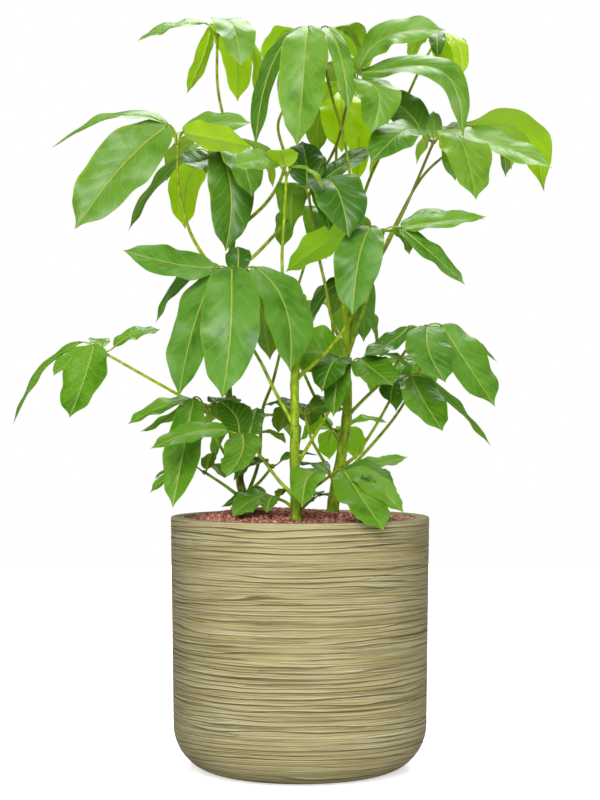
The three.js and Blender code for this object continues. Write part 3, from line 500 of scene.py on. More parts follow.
class Wiring:
    """Adds nodes to one tree and joins them up."""

    def __init__(self, tree):
        self.tree = tree

    def add(self, kind, inputs=None, **settings):
        """A new node with its settings, and with values or wires for its inputs."""
        node = self.tree.nodes.new(kind)
        for name, value in settings.items():
            setattr(node, name, value)
        for socket, value in (inputs or {}).items():
            self.feed(node.inputs[socket], value)
        return node

    def feed(self, socket, value):
        """Gives a socket a wire or a fixed value."""
        if isinstance(value, bpy.types.NodeSocket):
            self.tree.links.new(value, socket)
        elif socket.type == "RGBA" and len(value) == 3:
            socket.default_value = (*value, 1.0)
        else:
            socket.default_value = value

    def sum(self, operation, first, second=0.0, third=0.0):
        """What a sum of one to three numbers comes to."""
        node = self.add("ShaderNodeMath", operation=operation)
        for socket, value in zip(node.inputs, (first, second, third)):
            self.feed(socket, value)
        return node.outputs[0]

    def times(self, first, second):
        """The first number times the second."""
        return self.sum("MULTIPLY", first, second)

    def less(self, first, second):
        """The first number less the second."""
        return self.sum("SUBTRACT", first, second)

    def step(self, value, low, high, start=0.0, end=1.0):
        """From start where the value is low to end where it is high, softly."""
        node = self.add("ShaderNodeMapRange", interpolation_type="SMOOTHSTEP", inputs={
            "Value": value, "From Min": low, "From Max": high, "To Min": start, "To Max": end})
        return node.outputs["Result"]

    def blend(self, share, first, second):
        """The first colour at share 0 and the second at share 1."""
        node = self.add("ShaderNodeMix", data_type="RGBA")
        self.feed(node.inputs["Factor"], share)
        rgba = [socket for socket in node.inputs if socket.type == "RGBA"]
        self.feed(rgba[0], first)
        self.feed(rgba[1], second)
        return [socket for socket in node.outputs if socket.type == "RGBA"][0]

    def over(self, below, above, mask, share):
        """A colour over another, where a mask is and at a share of its strength."""
        return self.blend(self.times(mask, share), below, above)

    def ramp(self, share, stops):
        """The colour at a share, between stops that each have one."""
        node = self.add("ShaderNodeValToRGB", inputs={"Fac": share})
        elements = node.color_ramp.elements
        while len(elements) < len(stops):
            elements.new(0.5)
        for element, (position, colour) in zip(elements, stops):
            element.position = position
            element.color = (*colour, 1.0)
        return node.outputs["Color"]

    def place(self, scale=(1, 1, 1)):
        """The point on the piece, stretched by a scale for each direction."""
        point = self.add("ShaderNodeTexCoord").outputs["Object"]
        mapping = self.add("ShaderNodeMapping", inputs={"Vector": point, "Scale": scale})
        return mapping.outputs["Vector"]

    def grain(self, vector, scale, detail=2.0, roughness=0.5):
        """Smooth noise at a point, from 0 to 1."""
        node = self.add("ShaderNodeTexNoise", inputs={
            "Vector": vector, "Scale": scale, "Detail": detail, "Roughness": roughness})
        return node.outputs["Fac"]

    def kept(self, name, what="Vector"):
        """What a piece keeps under a name at each of its vertices."""
        return self.add("ShaderNodeAttribute", attribute_name=name).outputs[what]

    def parts(self, vector):
        """The X, Y and Z of a vector."""
        return self.add("ShaderNodeSeparateXYZ", inputs={"Vector": vector}).outputs

    def group(self, tree, **inputs):
        """The outputs of a shared group of nodes."""
        node = self.add("ShaderNodeGroup", node_tree=tree)
        for name, value in inputs.items():
            self.feed(node.inputs[name], value)
        return node.outputs

    def mottled(self, colour, dark, pale, scale, amount, stretch=(1, 1, 1)):
        """A colour with patches of a darker and a paler tone."""
        patches = self.group(mottle_group(), Place=self.place(stretch), Scale=scale,
                             Amount=amount, Colour=colour, Dark=dark, Pale=pale)
        return patches["Colour"]


def new_group(name, inputs, outputs):
    """An empty shader node group with named sockets, and the wiring inside it."""
    tree = bpy.data.node_groups.new(name, "ShaderNodeTree")
    for socket, kind in inputs:
        tree.interface.new_socket(socket, in_out="INPUT", socket_type="NodeSocket" + kind)
    for socket, kind in outputs:
        tree.interface.new_socket(socket, in_out="OUTPUT", socket_type="NodeSocket" + kind)
    wiring = Wiring(tree)
    return tree, wiring, wiring.add("NodeGroupInput").outputs, wiring.add("NodeGroupOutput").inputs


def mottle_group():
    """Patches of a darker and a paler tone over a colour, as dye, dust or age leaves them; on the
    leaves' upper sides the paler patches are painted sheen.
    """
    name = "Mottle"
    if name in bpy.data.node_groups:
        return bpy.data.node_groups[name]
    tree, wiring, given, result = new_group(
        name,
        [("Place", "Vector"), ("Scale", "Float"), ("Amount", "Float"), ("Colour", "Color"),
         ("Dark", "Color"), ("Pale", "Color")],
        [("Colour", "Color")])
    patch = wiring.grain(given["Place"], given["Scale"], 3.0, 0.6)
    darker = wiring.over(given["Colour"], given["Dark"], wiring.step(patch, 0.52, 0.3),
                         given["Amount"])
    wiring.feed(result["Colour"], wiring.over(
        darker, given["Pale"], wiring.step(patch, 0.5, 0.74), given["Amount"]))
    return tree


def blade_vein_group():
    """Midrib, side veins and the soft swelling between them, from the place on a blade.
    Place holds across (-1 to 1) and along (0 to 1); Build holds half width and length in mm."""
    name = "Blade veins"
    if name in bpy.data.node_groups:
        return bpy.data.node_groups[name]
    tree, wiring, given, result = new_group(
        name,
        [("Place", "Vector"), ("Build", "Vector"), ("Pairs", "Float")],
        [("Midrib", "Float"), ("Veins", "Float"), ("Height", "Float")])
    place = wiring.parts(given["Place"])
    build = wiring.parts(given["Build"])
    across = wiring.sum("ABSOLUTE", place["X"])
    away = wiring.times(across, build["Y"])
    rib_width = wiring.sum("MULTIPLY_ADD", place["Y"], -0.8, 1.25)
    midrib = wiring.step(wiring.less(away, rib_width), 0.55, -0.15)
    slant = wiring.times(wiring.sum("POWER", across, VEIN_BEND), VEIN_SLANT)
    shift = wiring.times(wiring.sum("SIGN", place["X"]), VEIN_SHIFT)
    along = wiring.sum("ADD", wiring.times(wiring.less(place["Y"], slant), given["Pairs"]), shift)
    wobble = wiring.grain(given["Place"], 2.6, 1.0)
    along = wiring.sum("MULTIPLY_ADD", wobble, 0.7, along)
    near = wiring.sum("PINGPONG", along, 0.5)
    gap = wiring.sum("DIVIDE", wiring.times(near, build["Z"]), given["Pairs"])
    fade = wiring.step(across, 1.0, 0.55)
    swell = wiring.times(wiring.step(near, 0.0, 0.5), fade)
    wiring.feed(result["Midrib"], midrib)
    wiring.feed(result["Veins"], wiring.times(wiring.step(gap, 0.95, 0.15), fade))
    wiring.feed(result["Height"], wiring.less(swell, wiring.times(midrib, 0.6)))
    return tree


def new_material(name):
    """An empty material and the wiring inside it."""
    material = bpy.data.materials.new(name)
    material.use_nodes = True
    material.node_tree.nodes.clear()
    return material, Wiring(material.node_tree)


def surface(wiring, colour, roughness, normal=None, **fixed):
    """The shader that every finish ends in; a fixed number is set on its own socket."""
    shader = wiring.add("ShaderNodeBsdfPrincipled", inputs={
        "Base Color": colour, "Roughness": roughness})
    for name, value in fixed.items():
        wiring.feed(shader.inputs[name.replace("_", " ")], value)
    if normal is not None:
        wiring.feed(shader.inputs["Normal"], normal)
    return shader.outputs["BSDF"]


def relief(wiring, height, strength, depth_mm):
    """The normal of a surface that stands up to a depth where the height is 1."""
    bump = wiring.add("ShaderNodeBump", inputs={
        "Height": height, "Strength": strength, "Distance": depth_mm * MM})
    return bump.outputs["Normal"]


def show(wiring, shader):
    """Makes a shader the material's finish."""
    wiring.add("ShaderNodeOutputMaterial", inputs={"Surface": shader})


def hairlines(wiring, per_metre, wander):
    """Thin dark lines round the wall that wander, draw close and fade, painted as the shade in fine
    grooves, and the pale lip above each, a painted highlight."""
    rise = wiring.parts(wiring.place())["Z"]
    drift = wiring.grain(wiring.place((3.4, 3.4, per_metre / 4)), 1.0, 2.0, 0.5)
    rows = wiring.sum("MULTIPLY_ADD", drift, wander, wiring.times(rise, per_metre))
    across = wiring.sum("FRACT", rows)
    line = wiring.step(wiring.sum("ABSOLUTE", wiring.less(across, 0.5)), 0.15, 0.06)
    lip = wiring.times(wiring.step(across, 0.6, 0.66), wiring.step(across, 0.86, 0.74))
    shown = wiring.step(wiring.grain(wiring.place((3, 3, per_metre / 3)), 1.0, 1.0), 0.26, 0.54)
    return wiring.times(line, shown), wiring.times(lip, shown)


def planter_material(settings):
    """Matte clay: dark in the scored lines and pale on the ridges, as painted shade and painted
    highlight, with a plain pale rim. A painted highlight lies on the lip of each thin line, and
    painted shade in the hollows between ridges and where the wall turns away from the view.
    """
    material, wiring = new_material("planter_clay")
    mark = wiring.parts(wiring.kept("score"))
    score, ridge, rim = mark["X"], mark["Y"], mark["Z"]
    streak = wiring.grain(wiring.place((5, 5, 230)), 1.0, 3.0, 0.6)
    broad, broad_lip_highlight = hairlines(wiring, 118.0, 3.4)
    narrow, narrow_lip_highlight = hairlines(wiring, 265.0, 3.4)
    # The thin lines are painted shade and their pale lips painted highlights.
    hair = wiring.sum("MAXIMUM", broad, wiring.times(narrow, 0.6))
    lip_highlights = wiring.sum("MAXIMUM", broad_lip_highlight, wiring.times(narrow_lip_highlight, 0.6))
    # Lighter where ridges and streaks stand higher and darker where they lie lower: painted highlight
    # and painted shade, mixed with random streaks in the clay.
    body = wiring.ramp(wiring.sum("MULTIPLY_ADD", ridge, 0.5, wiring.times(streak, 0.5)), [
        (0.3, settings.wall_shade), (0.5, settings.wall_colour), (0.7, settings.wall_pale_and_ridge_highlight)])
    body = wiring.mottled(body, settings.wall_shade, settings.wall_pale_and_ridge_highlight, 9.0, 0.35)
    body = wiring.over(body, settings.painted_lip_highlight, lip_highlights, 0.35)
    # Painted shade in the scored lines and the thin lines.
    dark = wiring.sum("MAXIMUM", wiring.step(score, 0.4, 1.2), wiring.times(hair, 0.95))
    scored = wiring.over(body, settings.painted_groove_and_side_shade, dark, 0.85)
    speck = wiring.grain(wiring.place(), 260.0, 2.0, 0.7)
    plain = wiring.ramp(speck, [(0.3, settings.rim_shade), (0.6, settings.rim_colour)])
    colour = wiring.blend(rim, scored, plain)
    # Painted shade: the wall darkens towards the groove colour where it turns away from the view.
    painted_side_shade = wiring.add("ShaderNodeLayerWeight", inputs={"Blend": 0.5}).outputs["Facing"]
    painted_side_shade = wiring.step(painted_side_shade, 0.1, 0.9, 0.0, settings.painted_side_shade_share)
    colour = wiring.blend(painted_side_shade, colour, settings.painted_groove_and_side_shade)
    fine = wiring.sum("MULTIPLY_ADD", wiring.grain(wiring.place(), 700.0, 3.0, 0.6), 0.35,
                      wiring.less(streak, wiring.times(hair, 0.8)))
    fine = wiring.less(fine, wiring.times(score, 1.2))
    fine = wiring.times(fine, wiring.less(1.15, rim))
    roughness = wiring.step(streak, 0.2, 0.8, 0.92, 0.72)
    show(wiring, surface(wiring, colour, roughness, relief(wiring, fine, 0.8, 0.9)))
    return material


def gravel_material(settings):
    """Baked clay granules: each has its own shade, with fine pores. The bed under the loose ones is
    set near the darkest, as painted shade in the gaps between them.
    """
    material, wiring = new_material("gravel_granules")
    colour = wiring.ramp(wiring.kept("shade", "Fac"), [
        (0.08, settings.dark), (0.34, settings.middle), (0.7, settings.light),
        (0.95, settings.pale)])
    colour = wiring.mottled(colour, settings.dark, settings.light, 420.0, 0.6)
    pores = wiring.grain(wiring.place(), 900.0, 3.0, 0.7)
    show(wiring, surface(wiring, colour, wiring.step(pores, 0.3, 0.7, 0.95, 0.75),
                         relief(wiring, pores, 0.7, 0.5)))
    return material


def soil_material(settings):
    """Dark, damp crumbs with a few paler fibres, darker in the low gaps of their relief as painted
    shade.
    """
    material, wiring = new_material("potting_soil")
    crumbs = wiring.grain(wiring.place(), 320.0, 5.0, 0.7)
    fibre = wiring.grain(wiring.place((60, 240, 60)), 1.0, 3.0, 0.6)
    # Darkest where the crumbs' relief is lowest: painted shade in the gaps.
    colour = wiring.ramp(crumbs, [
        (0.3, settings.soil_gap_shade), (0.52, settings.soil), (0.75, settings.soil_crumbs)])
    colour = wiring.blend(wiring.step(fibre, 0.66, 0.72), colour, settings.soil_fibre)
    show(wiring, surface(wiring, colour, wiring.step(crumbs, 0.3, 0.7, 0.95, 0.7),
                         relief(wiring, crumbs, 1.0, 2.0)))
    return material


def bark_material(settings):
    """Green bark: duller and browner near the soil, brown at the scars, finely flecked."""
    material, wiring = new_material("trunk_bark")
    mark = wiring.parts(wiring.kept("bark"))
    scar, height, edge = mark["X"], mark["Y"], mark["Z"]
    green = wiring.ramp(height, [
        (0.0, settings.foot), (0.03, settings.base), (0.16, settings.lower),
        (0.45, settings.bark), (1.0, settings.upper)])
    green = wiring.mottled(green, settings.dull, settings.bright, 130.0, 0.75, (1, 1, 0.4))
    fleck = wiring.step(wiring.grain(wiring.place((1, 1, 2.2)), 330.0, 1.0), 0.66, 0.72)
    green = wiring.over(green, settings.fleck, fleck, 0.35)
    colour = wiring.over(green, settings.scar, scar, 0.6)
    colour = wiring.over(colour, settings.ring, edge, 0.8)
    grain = wiring.grain(wiring.place((160, 160, 40)), 1.0, 4.0, 0.6)
    ridges = wiring.less(grain, wiring.times(edge, 0.6))
    show(wiring, surface(wiring, colour, wiring.step(grain, 0.3, 0.7, 0.62, 0.42),
                         relief(wiring, ridges, 0.6, 0.6), Specular_IOR_Level=0.25))
    return material


def stalk_material(settings):
    """Petioles and leaflet stalks: smooth green, browner at their joints, and browner towards
    their far end as much as the leaf is ruddy.
    """
    material, wiring = new_material("leaf_stalk")
    place = wiring.parts(wiring.kept("place"))
    ruddy = wiring.parts(wiring.kept("build"))["X"]
    colour = wiring.mottled(settings.stalk, settings.stalk_shade, settings.stalk_light, 90.0, 0.8)
    brown = wiring.sum("MAXIMUM", wiring.times(place["Z"], 0.75), wiring.times(ruddy, place["Y"]))
    colour = wiring.blend(brown, colour, settings.joint)
    grain = wiring.grain(wiring.place(), 420.0, 2.0)
    show(wiring, surface(wiring, colour, wiring.step(grain, 0.3, 0.7, 0.5, 0.34),
                         relief(wiring, grain, 0.3, 0.3), Specular_IOR_Level=0.25))
    return material


BladeTones = namedtuple("BladeTones", "top deep sheen young under glow")
# In each set the sheen colour is painted sheen and the paler veins, the young colour young growth and
# painted backlight, and the deep colour old blades and painted shade. The upper set is paler than the
# others, partly as painted light on the top of the plant.
BLADES = {
    "leaf_upper": BladeTones(
        top=srgb(118, 162, 60), deep=srgb(54, 108, 0), sheen=srgb(168, 200, 132),
        young=srgb(162, 192, 14), under=srgb(146, 180, 10), glow=srgb(184, 220, 0)),
    "leaf_middle": BladeTones(
        top=srgb(102, 152, 52), deep=srgb(40, 94, 0), sheen=srgb(146, 186, 116),
        young=srgb(124, 170, 20), under=srgb(118, 158, 6), glow=srgb(156, 204, 0)),
    "leaf_lower": BladeTones(
        top=srgb(106, 156, 34), deep=srgb(44, 98, 0), sheen=srgb(144, 184, 94),
        young=srgb(124, 174, 14), under=srgb(116, 160, 8), glow=srgb(144, 200, 0)),
}


def blade_material(name, tones, settings):
    """A leaflet's blade: veined and glossy above, matte and yellower below, and light
    shows through it. Its upper side carries painted sheen in patches; a dark blade is painted
    with shade, and a new yellow one with painted backlight that glows of itself."""
    material, wiring = new_material(name)
    place = wiring.kept("place")
    build = wiring.kept("build")
    veins = wiring.group(blade_vein_group(), Place=place, Build=build,
                         Pairs=float(settings.vein_pairs))
    spot = wiring.parts(place)
    across, under_side = spot["X"], spot["Z"]
    # The tone: age, with painted shade when low and painted backlight when high.
    tone = wiring.parts(build)["X"]
    # Painted sheen: the paler patches over the upper side.
    top = wiring.mottled(tones.top, tones.deep, tones.sheen, 18.0, 0.65)
    # Yellow leaflets partly carry painted backlight, and dark ones painted shade as well as age.
    top = wiring.blend(wiring.step(tone, 0.45, 1.0), top, tones.young)
    top = wiring.blend(wiring.step(tone, 0.45, 0.0, 0.0, 0.8), top, tones.deep)
    edge = wiring.step(wiring.sum("ABSOLUTE", across), 0.93, 1.0)
    top = wiring.over(top, tones.young, edge, 0.25)
    top = wiring.over(top, tones.sheen, veins["Veins"], 0.56)
    top = wiring.over(top, settings.rib, veins["Midrib"], 0.85)
    under = wiring.mottled(tones.under, tones.top, tones.young, 30.0, 0.4)
    under = wiring.over(under, tones.sheen, veins["Veins"], 0.4)
    under = wiring.over(under, settings.rib, veins["Midrib"], 0.8)
    glow = wiring.over(tones.glow, tones.top, veins["Veins"], 0.5)
    glow = wiring.over(glow, tones.deep, veins["Midrib"], 0.8)
    # Dark leaflets let a darker light through: painted shade.
    glow = wiring.blend(wiring.step(tone, 0.45, 0.0, 0.0, 0.7), glow, tones.deep)
    fleshy = wiring.grain(wiring.place(), 34.0, 3.0, 0.55)
    gloss = wiring.sum("MULTIPLY_ADD", fleshy, 0.16, settings.gloss_roughness)
    roughness = wiring.sum("MULTIPLY_ADD", under_side, 0.22, gloss)
    skin = wiring.grain(wiring.place(), 520.0, 2.0)
    height = wiring.sum("MULTIPLY_ADD", skin, 0.03, veins["Height"])
    # Painted backlight: the yellow blades glow of themselves.
    painted_backlight_colour = wiring.blend(wiring.step(tone, 0.55, 1.0), UNLIT, glow)
    skin_shader = surface(
        wiring, wiring.blend(under_side, top, under), roughness, relief(wiring, height, 0.6, 0.45),
        Specular_IOR_Level=0.32, Emission_Color=painted_backlight_colour, Emission_Strength=settings.painted_backlight)
    through = wiring.add("ShaderNodeBsdfTranslucent", inputs={"Color": glow}).outputs[0]
    mixed = wiring.add("ShaderNodeMixShader", inputs={
        0: settings.see_through, 1: skin_shader, 2: through})
    show(wiring, mixed.outputs[0])
    return material


def floor_material(settings):
    """Pale paper whose shadows are filled, as the camera sees it."""
    material, wiring = new_material("floor_paper")
    tint = wiring.ramp(wiring.grain(wiring.place(), 3.0), [(0.3, (0.9,) * 3), (0.7, (0.92,) * 3)])
    seen = wiring.add("ShaderNodeLightPath").outputs["Is Camera Ray"]
    show(wiring, surface(wiring, tint, 0.9, Specular_IOR_Level=0.1,
                         Emission_Color=wiring.blend(seen, UNLIT, WHITE),
                         Emission_Strength=settings.floor_glow))
    return material


# ---- planter, soil and gravel -------------------------------------------------------


def quarter(radius, level, reach, rise, share):
    """The point at a share of a quarter ellipse that leaves (radius, level) going level."""
    angle = math.pi / 2 * share
    return radius + reach * math.sin(angle), level + rise * (1 - math.cos(angle))


def planter_profile():
    """The planter's section as (radius, level), from the middle of its base, up the outside,
    over the rim and down inside to the middle of its floor."""
    foot, foot_height, lip = PLANTER["foot_radius"], PLANTER["foot_height"], PLANTER["lip"]
    lower, rim, height = PLANTER["lower_radius"], PLANTER["rim_radius"], PLANTER["height"]
    inner_rim, inner_foot = PLANTER["inner_rim_radius"], PLANTER["inner_foot_radius"]
    inner_lower, floor = PLANTER["inner_lower_radius"], PLANTER["floor_level"]
    section = [(0, 0), (foot * 0.5, 0), (foot - 3, 0)]
    rows = round(math.pi / 2 * (lower - foot + foot_height) / 2 / FOOT_ROW)
    section += [quarter(foot, 0, lower - foot, foot_height, index / rows)
                for index in range(rows + 1)]
    rise = height - lip - foot_height
    rows = round(rise / WALL_ROW)
    section += [(lower + (rim - lower) * index / rows, foot_height + rise * index / rows)
                for index in range(1, rows + 1)]
    section += [quarter(rim - lip, height, lip, -lip, 1 - index / LIP_ROWS)
                for index in range(1, LIP_ROWS + 1)]
    section += [(rim - lip - index / LIP_ROWS * (rim - inner_rim - 2 * lip), height)
                for index in range(1, LIP_ROWS)]
    section += [quarter(inner_rim + lip, height, -lip, -lip, index / LIP_ROWS)
                for index in range(LIP_ROWS + 1)]
    section += [(inner_rim - drawn_in, level) for drawn_in, level in INSIDE_LEVELS]
    section.append((inner_lower, foot_height))
    section += [quarter(inner_foot, floor, inner_lower - inner_foot, foot_height - floor,
                        1 - index / FLOOR_ROWS) for index in range(1, FLOOR_ROWS + 1)]
    return [*section, (0, floor)]


def scored_line(x, y, level, length, pitch, reach):
    """1 along thin, nearly level lines, about a pitch apart, that wander, meet and part."""
    def height(at):
        return ripple(x / length, y / length, at / pitch)

    slope = abs(height(level + 0.6) - height(level - 0.6)) / 1.2
    return hump(abs(height(level)) / max(slope, 0.004), reach)


def line_depth(line, x, y, level):
    """How deep one kind of scored line is at a place on the wall."""
    dx, dy, rise = line.shift
    shift_x, shift_level = line.patch_shift
    wide, high = line.patch
    patch = ripple(x / wide + shift_x, y / wide, level / high + shift_level)
    depth = scored_line(x + dx, y + dy, level + rise, line.length, line.pitch, line.reach)
    return depth * (line.least + line.more * ease(patch, *line.shown))


def scoring(point):
    """How deep the scored lines are at a point of the wall, 0 to 1, and how high the ridge."""
    x, y, z = point
    level = z + WANDER["height"] * ripple(x / WANDER["length"], y / WANDER["length"],
                                          z / WANDER["pitch"])
    deep, thin, scratch = (line_depth(line, x, y, level) for line in SCORED_LINES)
    ridge = 0.5 + 0.5 * ripple(x / 220 + 11, y / 220, level / 5)
    return min(1.0, max(deep, thin, scratch) + 0.25 * min(deep, thin)), ridge


def build_planter(settings):
    """The clay shell: spun once, then scored all round its wall."""
    bm = bmesh.new()
    spin_section(bm, planter_profile(), settings.steps_round)
    score = bm.verts.layers.float_vector.new("score")
    rim_level = PLANTER["height"] - PLANTER["lip"]
    depth = settings.groove_depth / MM
    for vert in bm.verts:
        x, y, z = vert.co
        radius = math.hypot(x, y)
        outer = radius > PLANTER["inner_rim_radius"] + 1 or z < PLANTER["foot_height"]
        inner = z > PLANTER["floor_level"] - 1 and radius < inner_radius(z) + 1
        on_rim = ease(z, rim_level - 1.5, rim_level + 1.6)
        if inner or not outer:
            vert[score] = Vector((0, 0.5, 1.0 if z > rim_level - 9 else 0.6))
            continue
        line, ridge = scoring(vert.co)
        shown = ease(z, *SCORED_FROM) * (1 - on_rim)
        push = (line - RIDGE_SHARE * (ridge - 0.5)) * depth * shown
        normal = Vector((x, y, 0)).normalized()
        if z < PLANTER["foot_height"]:
            lean = 1 - z / PLANTER["foot_height"]
            normal = (normal * (1 - lean * 0.5) - Vector((0, 0, lean))).normalized()
        vert.co -= normal * push
        vert[score] = Vector((line * shown, ridge, on_rim))
    close_seams(bm, bm.verts[:])
    return finish_piece(bm, "planter_shell", [planter_material(settings)], ["pot"])


def inner_radius(level):
    """The radius of the planter's inside at a level."""
    p = PLANTER
    if level >= p["foot_height"]:
        share = (level - p["foot_height"]) / (p["height"] - p["foot_height"])
        return p["inner_lower_radius"] + (p["inner_rim_radius"] - p["inner_lower_radius"]) * share
    drop = (p["foot_height"] - level) / (p["foot_height"] - p["floor_level"])
    reach = p["inner_lower_radius"] - p["inner_foot_radius"]
    return p["inner_foot_radius"] + reach * math.sqrt(max(0.0, 1 - min(drop, 1.0) ** 2))


def gravel_level(x, y):
    """The level of the gravel's surface: a low, lopsided mound."""
    share = min(math.hypot(x, y) / GRAVEL["radius"], 1)
    heap_x, heap_y = GRAVEL["heap"]
    heaped = hump(math.hypot(x - heap_x, y - heap_y), GRAVEL["heap_reach"])
    level = GRAVEL["wall_level"] + GRAVEL["mound"] * (1 - share ** 4) * heaped
    wide = GRAVEL["uneven_over"]
    return level + GRAVEL["unevenness"] * ripple(x / wide, y / wide, 5)


def trunk_feet():
    """The middle of each trunk where it leaves the gravel, and its radius there."""
    return [(trunk.route[1][0], trunk.route[1][1], trunk.radii[0]) for trunk in TRUNKS.values()]


def away_from_trunks(x, y):
    """How far a point of the gravel is from the nearest trunk's bark."""
    return min(math.hypot(x - fx, y - fy) - radius for fx, fy, radius in trunk_feet())


def build_gravel_bed(material):
    """The mass of granules under the loose ones: a mounded disc with a rough surface, coloured
    dark as painted shade in the gaps between the loose granules.
    """
    bm = bmesh.new()
    rows, depth = BED["rows"], GRAVEL["layer_depth"]
    edge = GRAVEL["radius"] - BED["gap"]
    top_row = [(edge * index / rows, 0) for index in range(rows + 1)]
    spin_section(bm, [*top_row, (edge, -depth), (0, -depth)], BED["steps"])
    shade = bm.verts.layers.float.new("shade")
    close_seams(bm, bm.verts[:])
    for vert in bm.verts:
        # Dark all over: painted shade in the gaps between the loose granules.
        vert[shade] = BED["shade"]
        x, y, z = vert.co
        if z < -0.1:
            vert.co.z = GRAVEL["wall_level"] - depth
            continue
        lump = ripple(x / 4, y / 4, 9)
        vert.co.z = gravel_level(x, y) - BED["depth"] + BED["roughness"] * lump
    return finish_piece(bm, "gravel_bed", [material], ["gravel"])


def stone_kinds(rng):
    """A few different granules of unit size, each a chipped ball of twenty faces."""
    kinds = []
    for _ in range(STONES["kinds"]):
        bm = bmesh.new()
        corners = bmesh.ops.create_icosphere(bm, subdivisions=1, radius=1)["verts"]
        squash = Vector(rng.uniform(*span) for span in STONES["squash"])
        for corner in corners:
            reach = rng.uniform(*STONES["chip"])
            corner.co = Vector(c * s for c, s in zip(corner.co, squash)) * reach
        kinds.append([corner.co.copy() for corner in corners])
        bm.free()
    return kinds


def build_loose_gravel(settings, material):
    """The granules that lie on top, set out in rings and then shaken out of line."""
    rng = random.Random(STONES["seed"])
    kinds = stone_kinds(rng)
    pitch = settings.stone_pitch / MM
    whole = bmesh.new()
    whole.verts.layers.float.new("shade")
    for ring in range(1, int(GRAVEL["radius"] / pitch) + 1):
        reach = ring * pitch - 1.5
        count = max(6, round(2 * math.pi * reach / pitch))
        bm = bmesh.new()
        shade = bm.verts.layers.float.new("shade")
        first = bmesh.ops.create_icosphere(bm, subdivisions=1, radius=1)["verts"]
        bmesh.ops.translate(bm, vec=(reach, 0, 0), verts=first)
        bmesh.ops.spin(bm, geom=bm.verts[:] + bm.edges[:] + bm.faces[:], cent=(0, 0, 0),
                       axis=(0, 0, 1), angle=2 * math.pi * (1 - 1 / count), steps=count - 1,
                       use_duplicate=True)
        shake_stones(bm, kinds, pitch, shade, rng)
        layer = mesh_of(bm, "ring")
        whole.from_mesh(layer)
        bpy.data.meshes.remove(layer)
    smooth_outwards(whole, whole.faces[:])
    return finish_piece(whole, "gravel_stones", [material])


def shake_stones(bm, kinds, pitch, shade, rng):
    """Gives each granule of a ring its own shape, size, turn, shade and place."""
    corners = bm.verts[:]
    per_stone = len(kinds[0])
    shake, tilt = STONES["shake"], STONES["tilt"]
    spare = []
    for start in range(0, len(corners), per_stone):
        stone = corners[start:start + per_stone]
        middle = sum((corner.co for corner in stone), Vector()) / per_stone
        x = middle.x + rng.uniform(-shake, shake) * pitch
        y = middle.y + rng.uniform(-shake, shake) * pitch
        size = pitch * rng.uniform(*STONES["size"])
        turn = Matrix.Rotation(rng.uniform(0, FULL_TURN), 3, "Z")
        turn = turn @ Matrix.Rotation(rng.uniform(-tilt, tilt), 3, "X")
        kind = kinds[rng.randrange(STONES["kinds"])]
        colour = min(1.0, max(0.0, rng.gauss(*STONES["shade"])))
        lift = rng.uniform(*STONES["lift"])
        radius = math.hypot(x, y)
        limit = GRAVEL["radius"] - size * 0.9
        if radius > limit:
            x, y = (c * limit / radius for c in (x, y))
        if away_from_trunks(x, y) < rng.uniform(*STONES["clear_of_trunks"]):
            spare += stone
        spot = Vector((x, y, gravel_level(x, y) + lift))
        for corner, shape in zip(stone, kind):
            corner.co = spot + turn @ shape * size
            corner[shade] = colour
    bmesh.ops.delete(bm, geom=spare, context="VERTS")


def build_soil_mound(bm, x, y, reach):
    """A round, lumpy mound of soil about a trunk, from a grid drawn in to a disc."""
    rows, depth = CRUMBS["rows"], CRUMBS["depth"]
    mound = bmesh.ops.create_grid(bm, x_segments=rows, y_segments=rows, size=reach)["verts"]
    for vert in mound:
        dx, dy = vert.co.x, vert.co.y
        side = max(abs(dx), abs(dy))
        if side > 0:
            scale = side / math.hypot(dx, dy)
            dx, dy = dx * scale, dy * scale
        fall = ease(math.hypot(dx, dy), reach * 0.55, reach)
        lump = ripple(dx / 4 + x, dy / 4 + y, 3)
        level = gravel_level(x + dx, y + dy)
        vert.co = Vector((x + dx, y + dy, level - 0.6 + CRUMBS["roughness"] * lump - depth * fall))
    low = bmesh.ops.extrude_face_region(
        bm, geom=list({face for vert in mound for face in vert.link_faces}))["geom"]
    for vert in (item for item in low if isinstance(item, bmesh.types.BMVert)):
        vert.co.z = GRAVEL["wall_level"] - depth


def build_soil_crumbs(material):
    """Dark soil that shows where the trunks come through the gravel."""
    rng = random.Random(CRUMBS["seed"])
    chip = CRUMBS["chip"]
    bm = bmesh.new()
    for x, y, radius in trunk_feet():
        build_soil_mound(bm, x, y, radius + CRUMBS["reach"])
        for _ in range(CRUMBS["count"]):
            angle, away = rng.uniform(0, FULL_TURN), radius + rng.uniform(*CRUMBS["away"])
            cx, cy = x + away * math.cos(angle), y + away * math.sin(angle)
            size = rng.uniform(*CRUMBS["size"])
            level = gravel_level(cx, cy) + rng.uniform(*CRUMBS["lift"])
            stone = bmesh.ops.create_icosphere(
                bm, subdivisions=1, radius=size, matrix=Matrix.Translation((cx, cy, level)))["verts"]
            for vert in stone:
                vert.co += Vector(rng.uniform(-chip, chip) * size for _ in range(3))
    smooth_outwards(bm, bm.faces[:])
    return finish_piece(bm, "soil_crumbs", [material])


# ---- trunks -------------------------------------------------------------------------


def trunk_rings(trunk, rng):
    """Where leaves were shed: the scars, and fainter rings between those far apart. Each is a
    level, the way it faces and how strong it is."""
    turn = rng.uniform(0, FULL_TURN)
    scars = [(level, turn + SCARS["turn"] * index, 1.0) for index, level in enumerate(trunk.scars)]
    stray = SCARS["stray"]
    between = [((low + high) / 2 + rng.uniform(-stray, stray), rng.uniform(0, FULL_TURN), 0.5)
               for low, high in zip(trunk.scars, trunk.scars[1:])
               if high - low > SCARS["far_apart"]]
    return scars + between


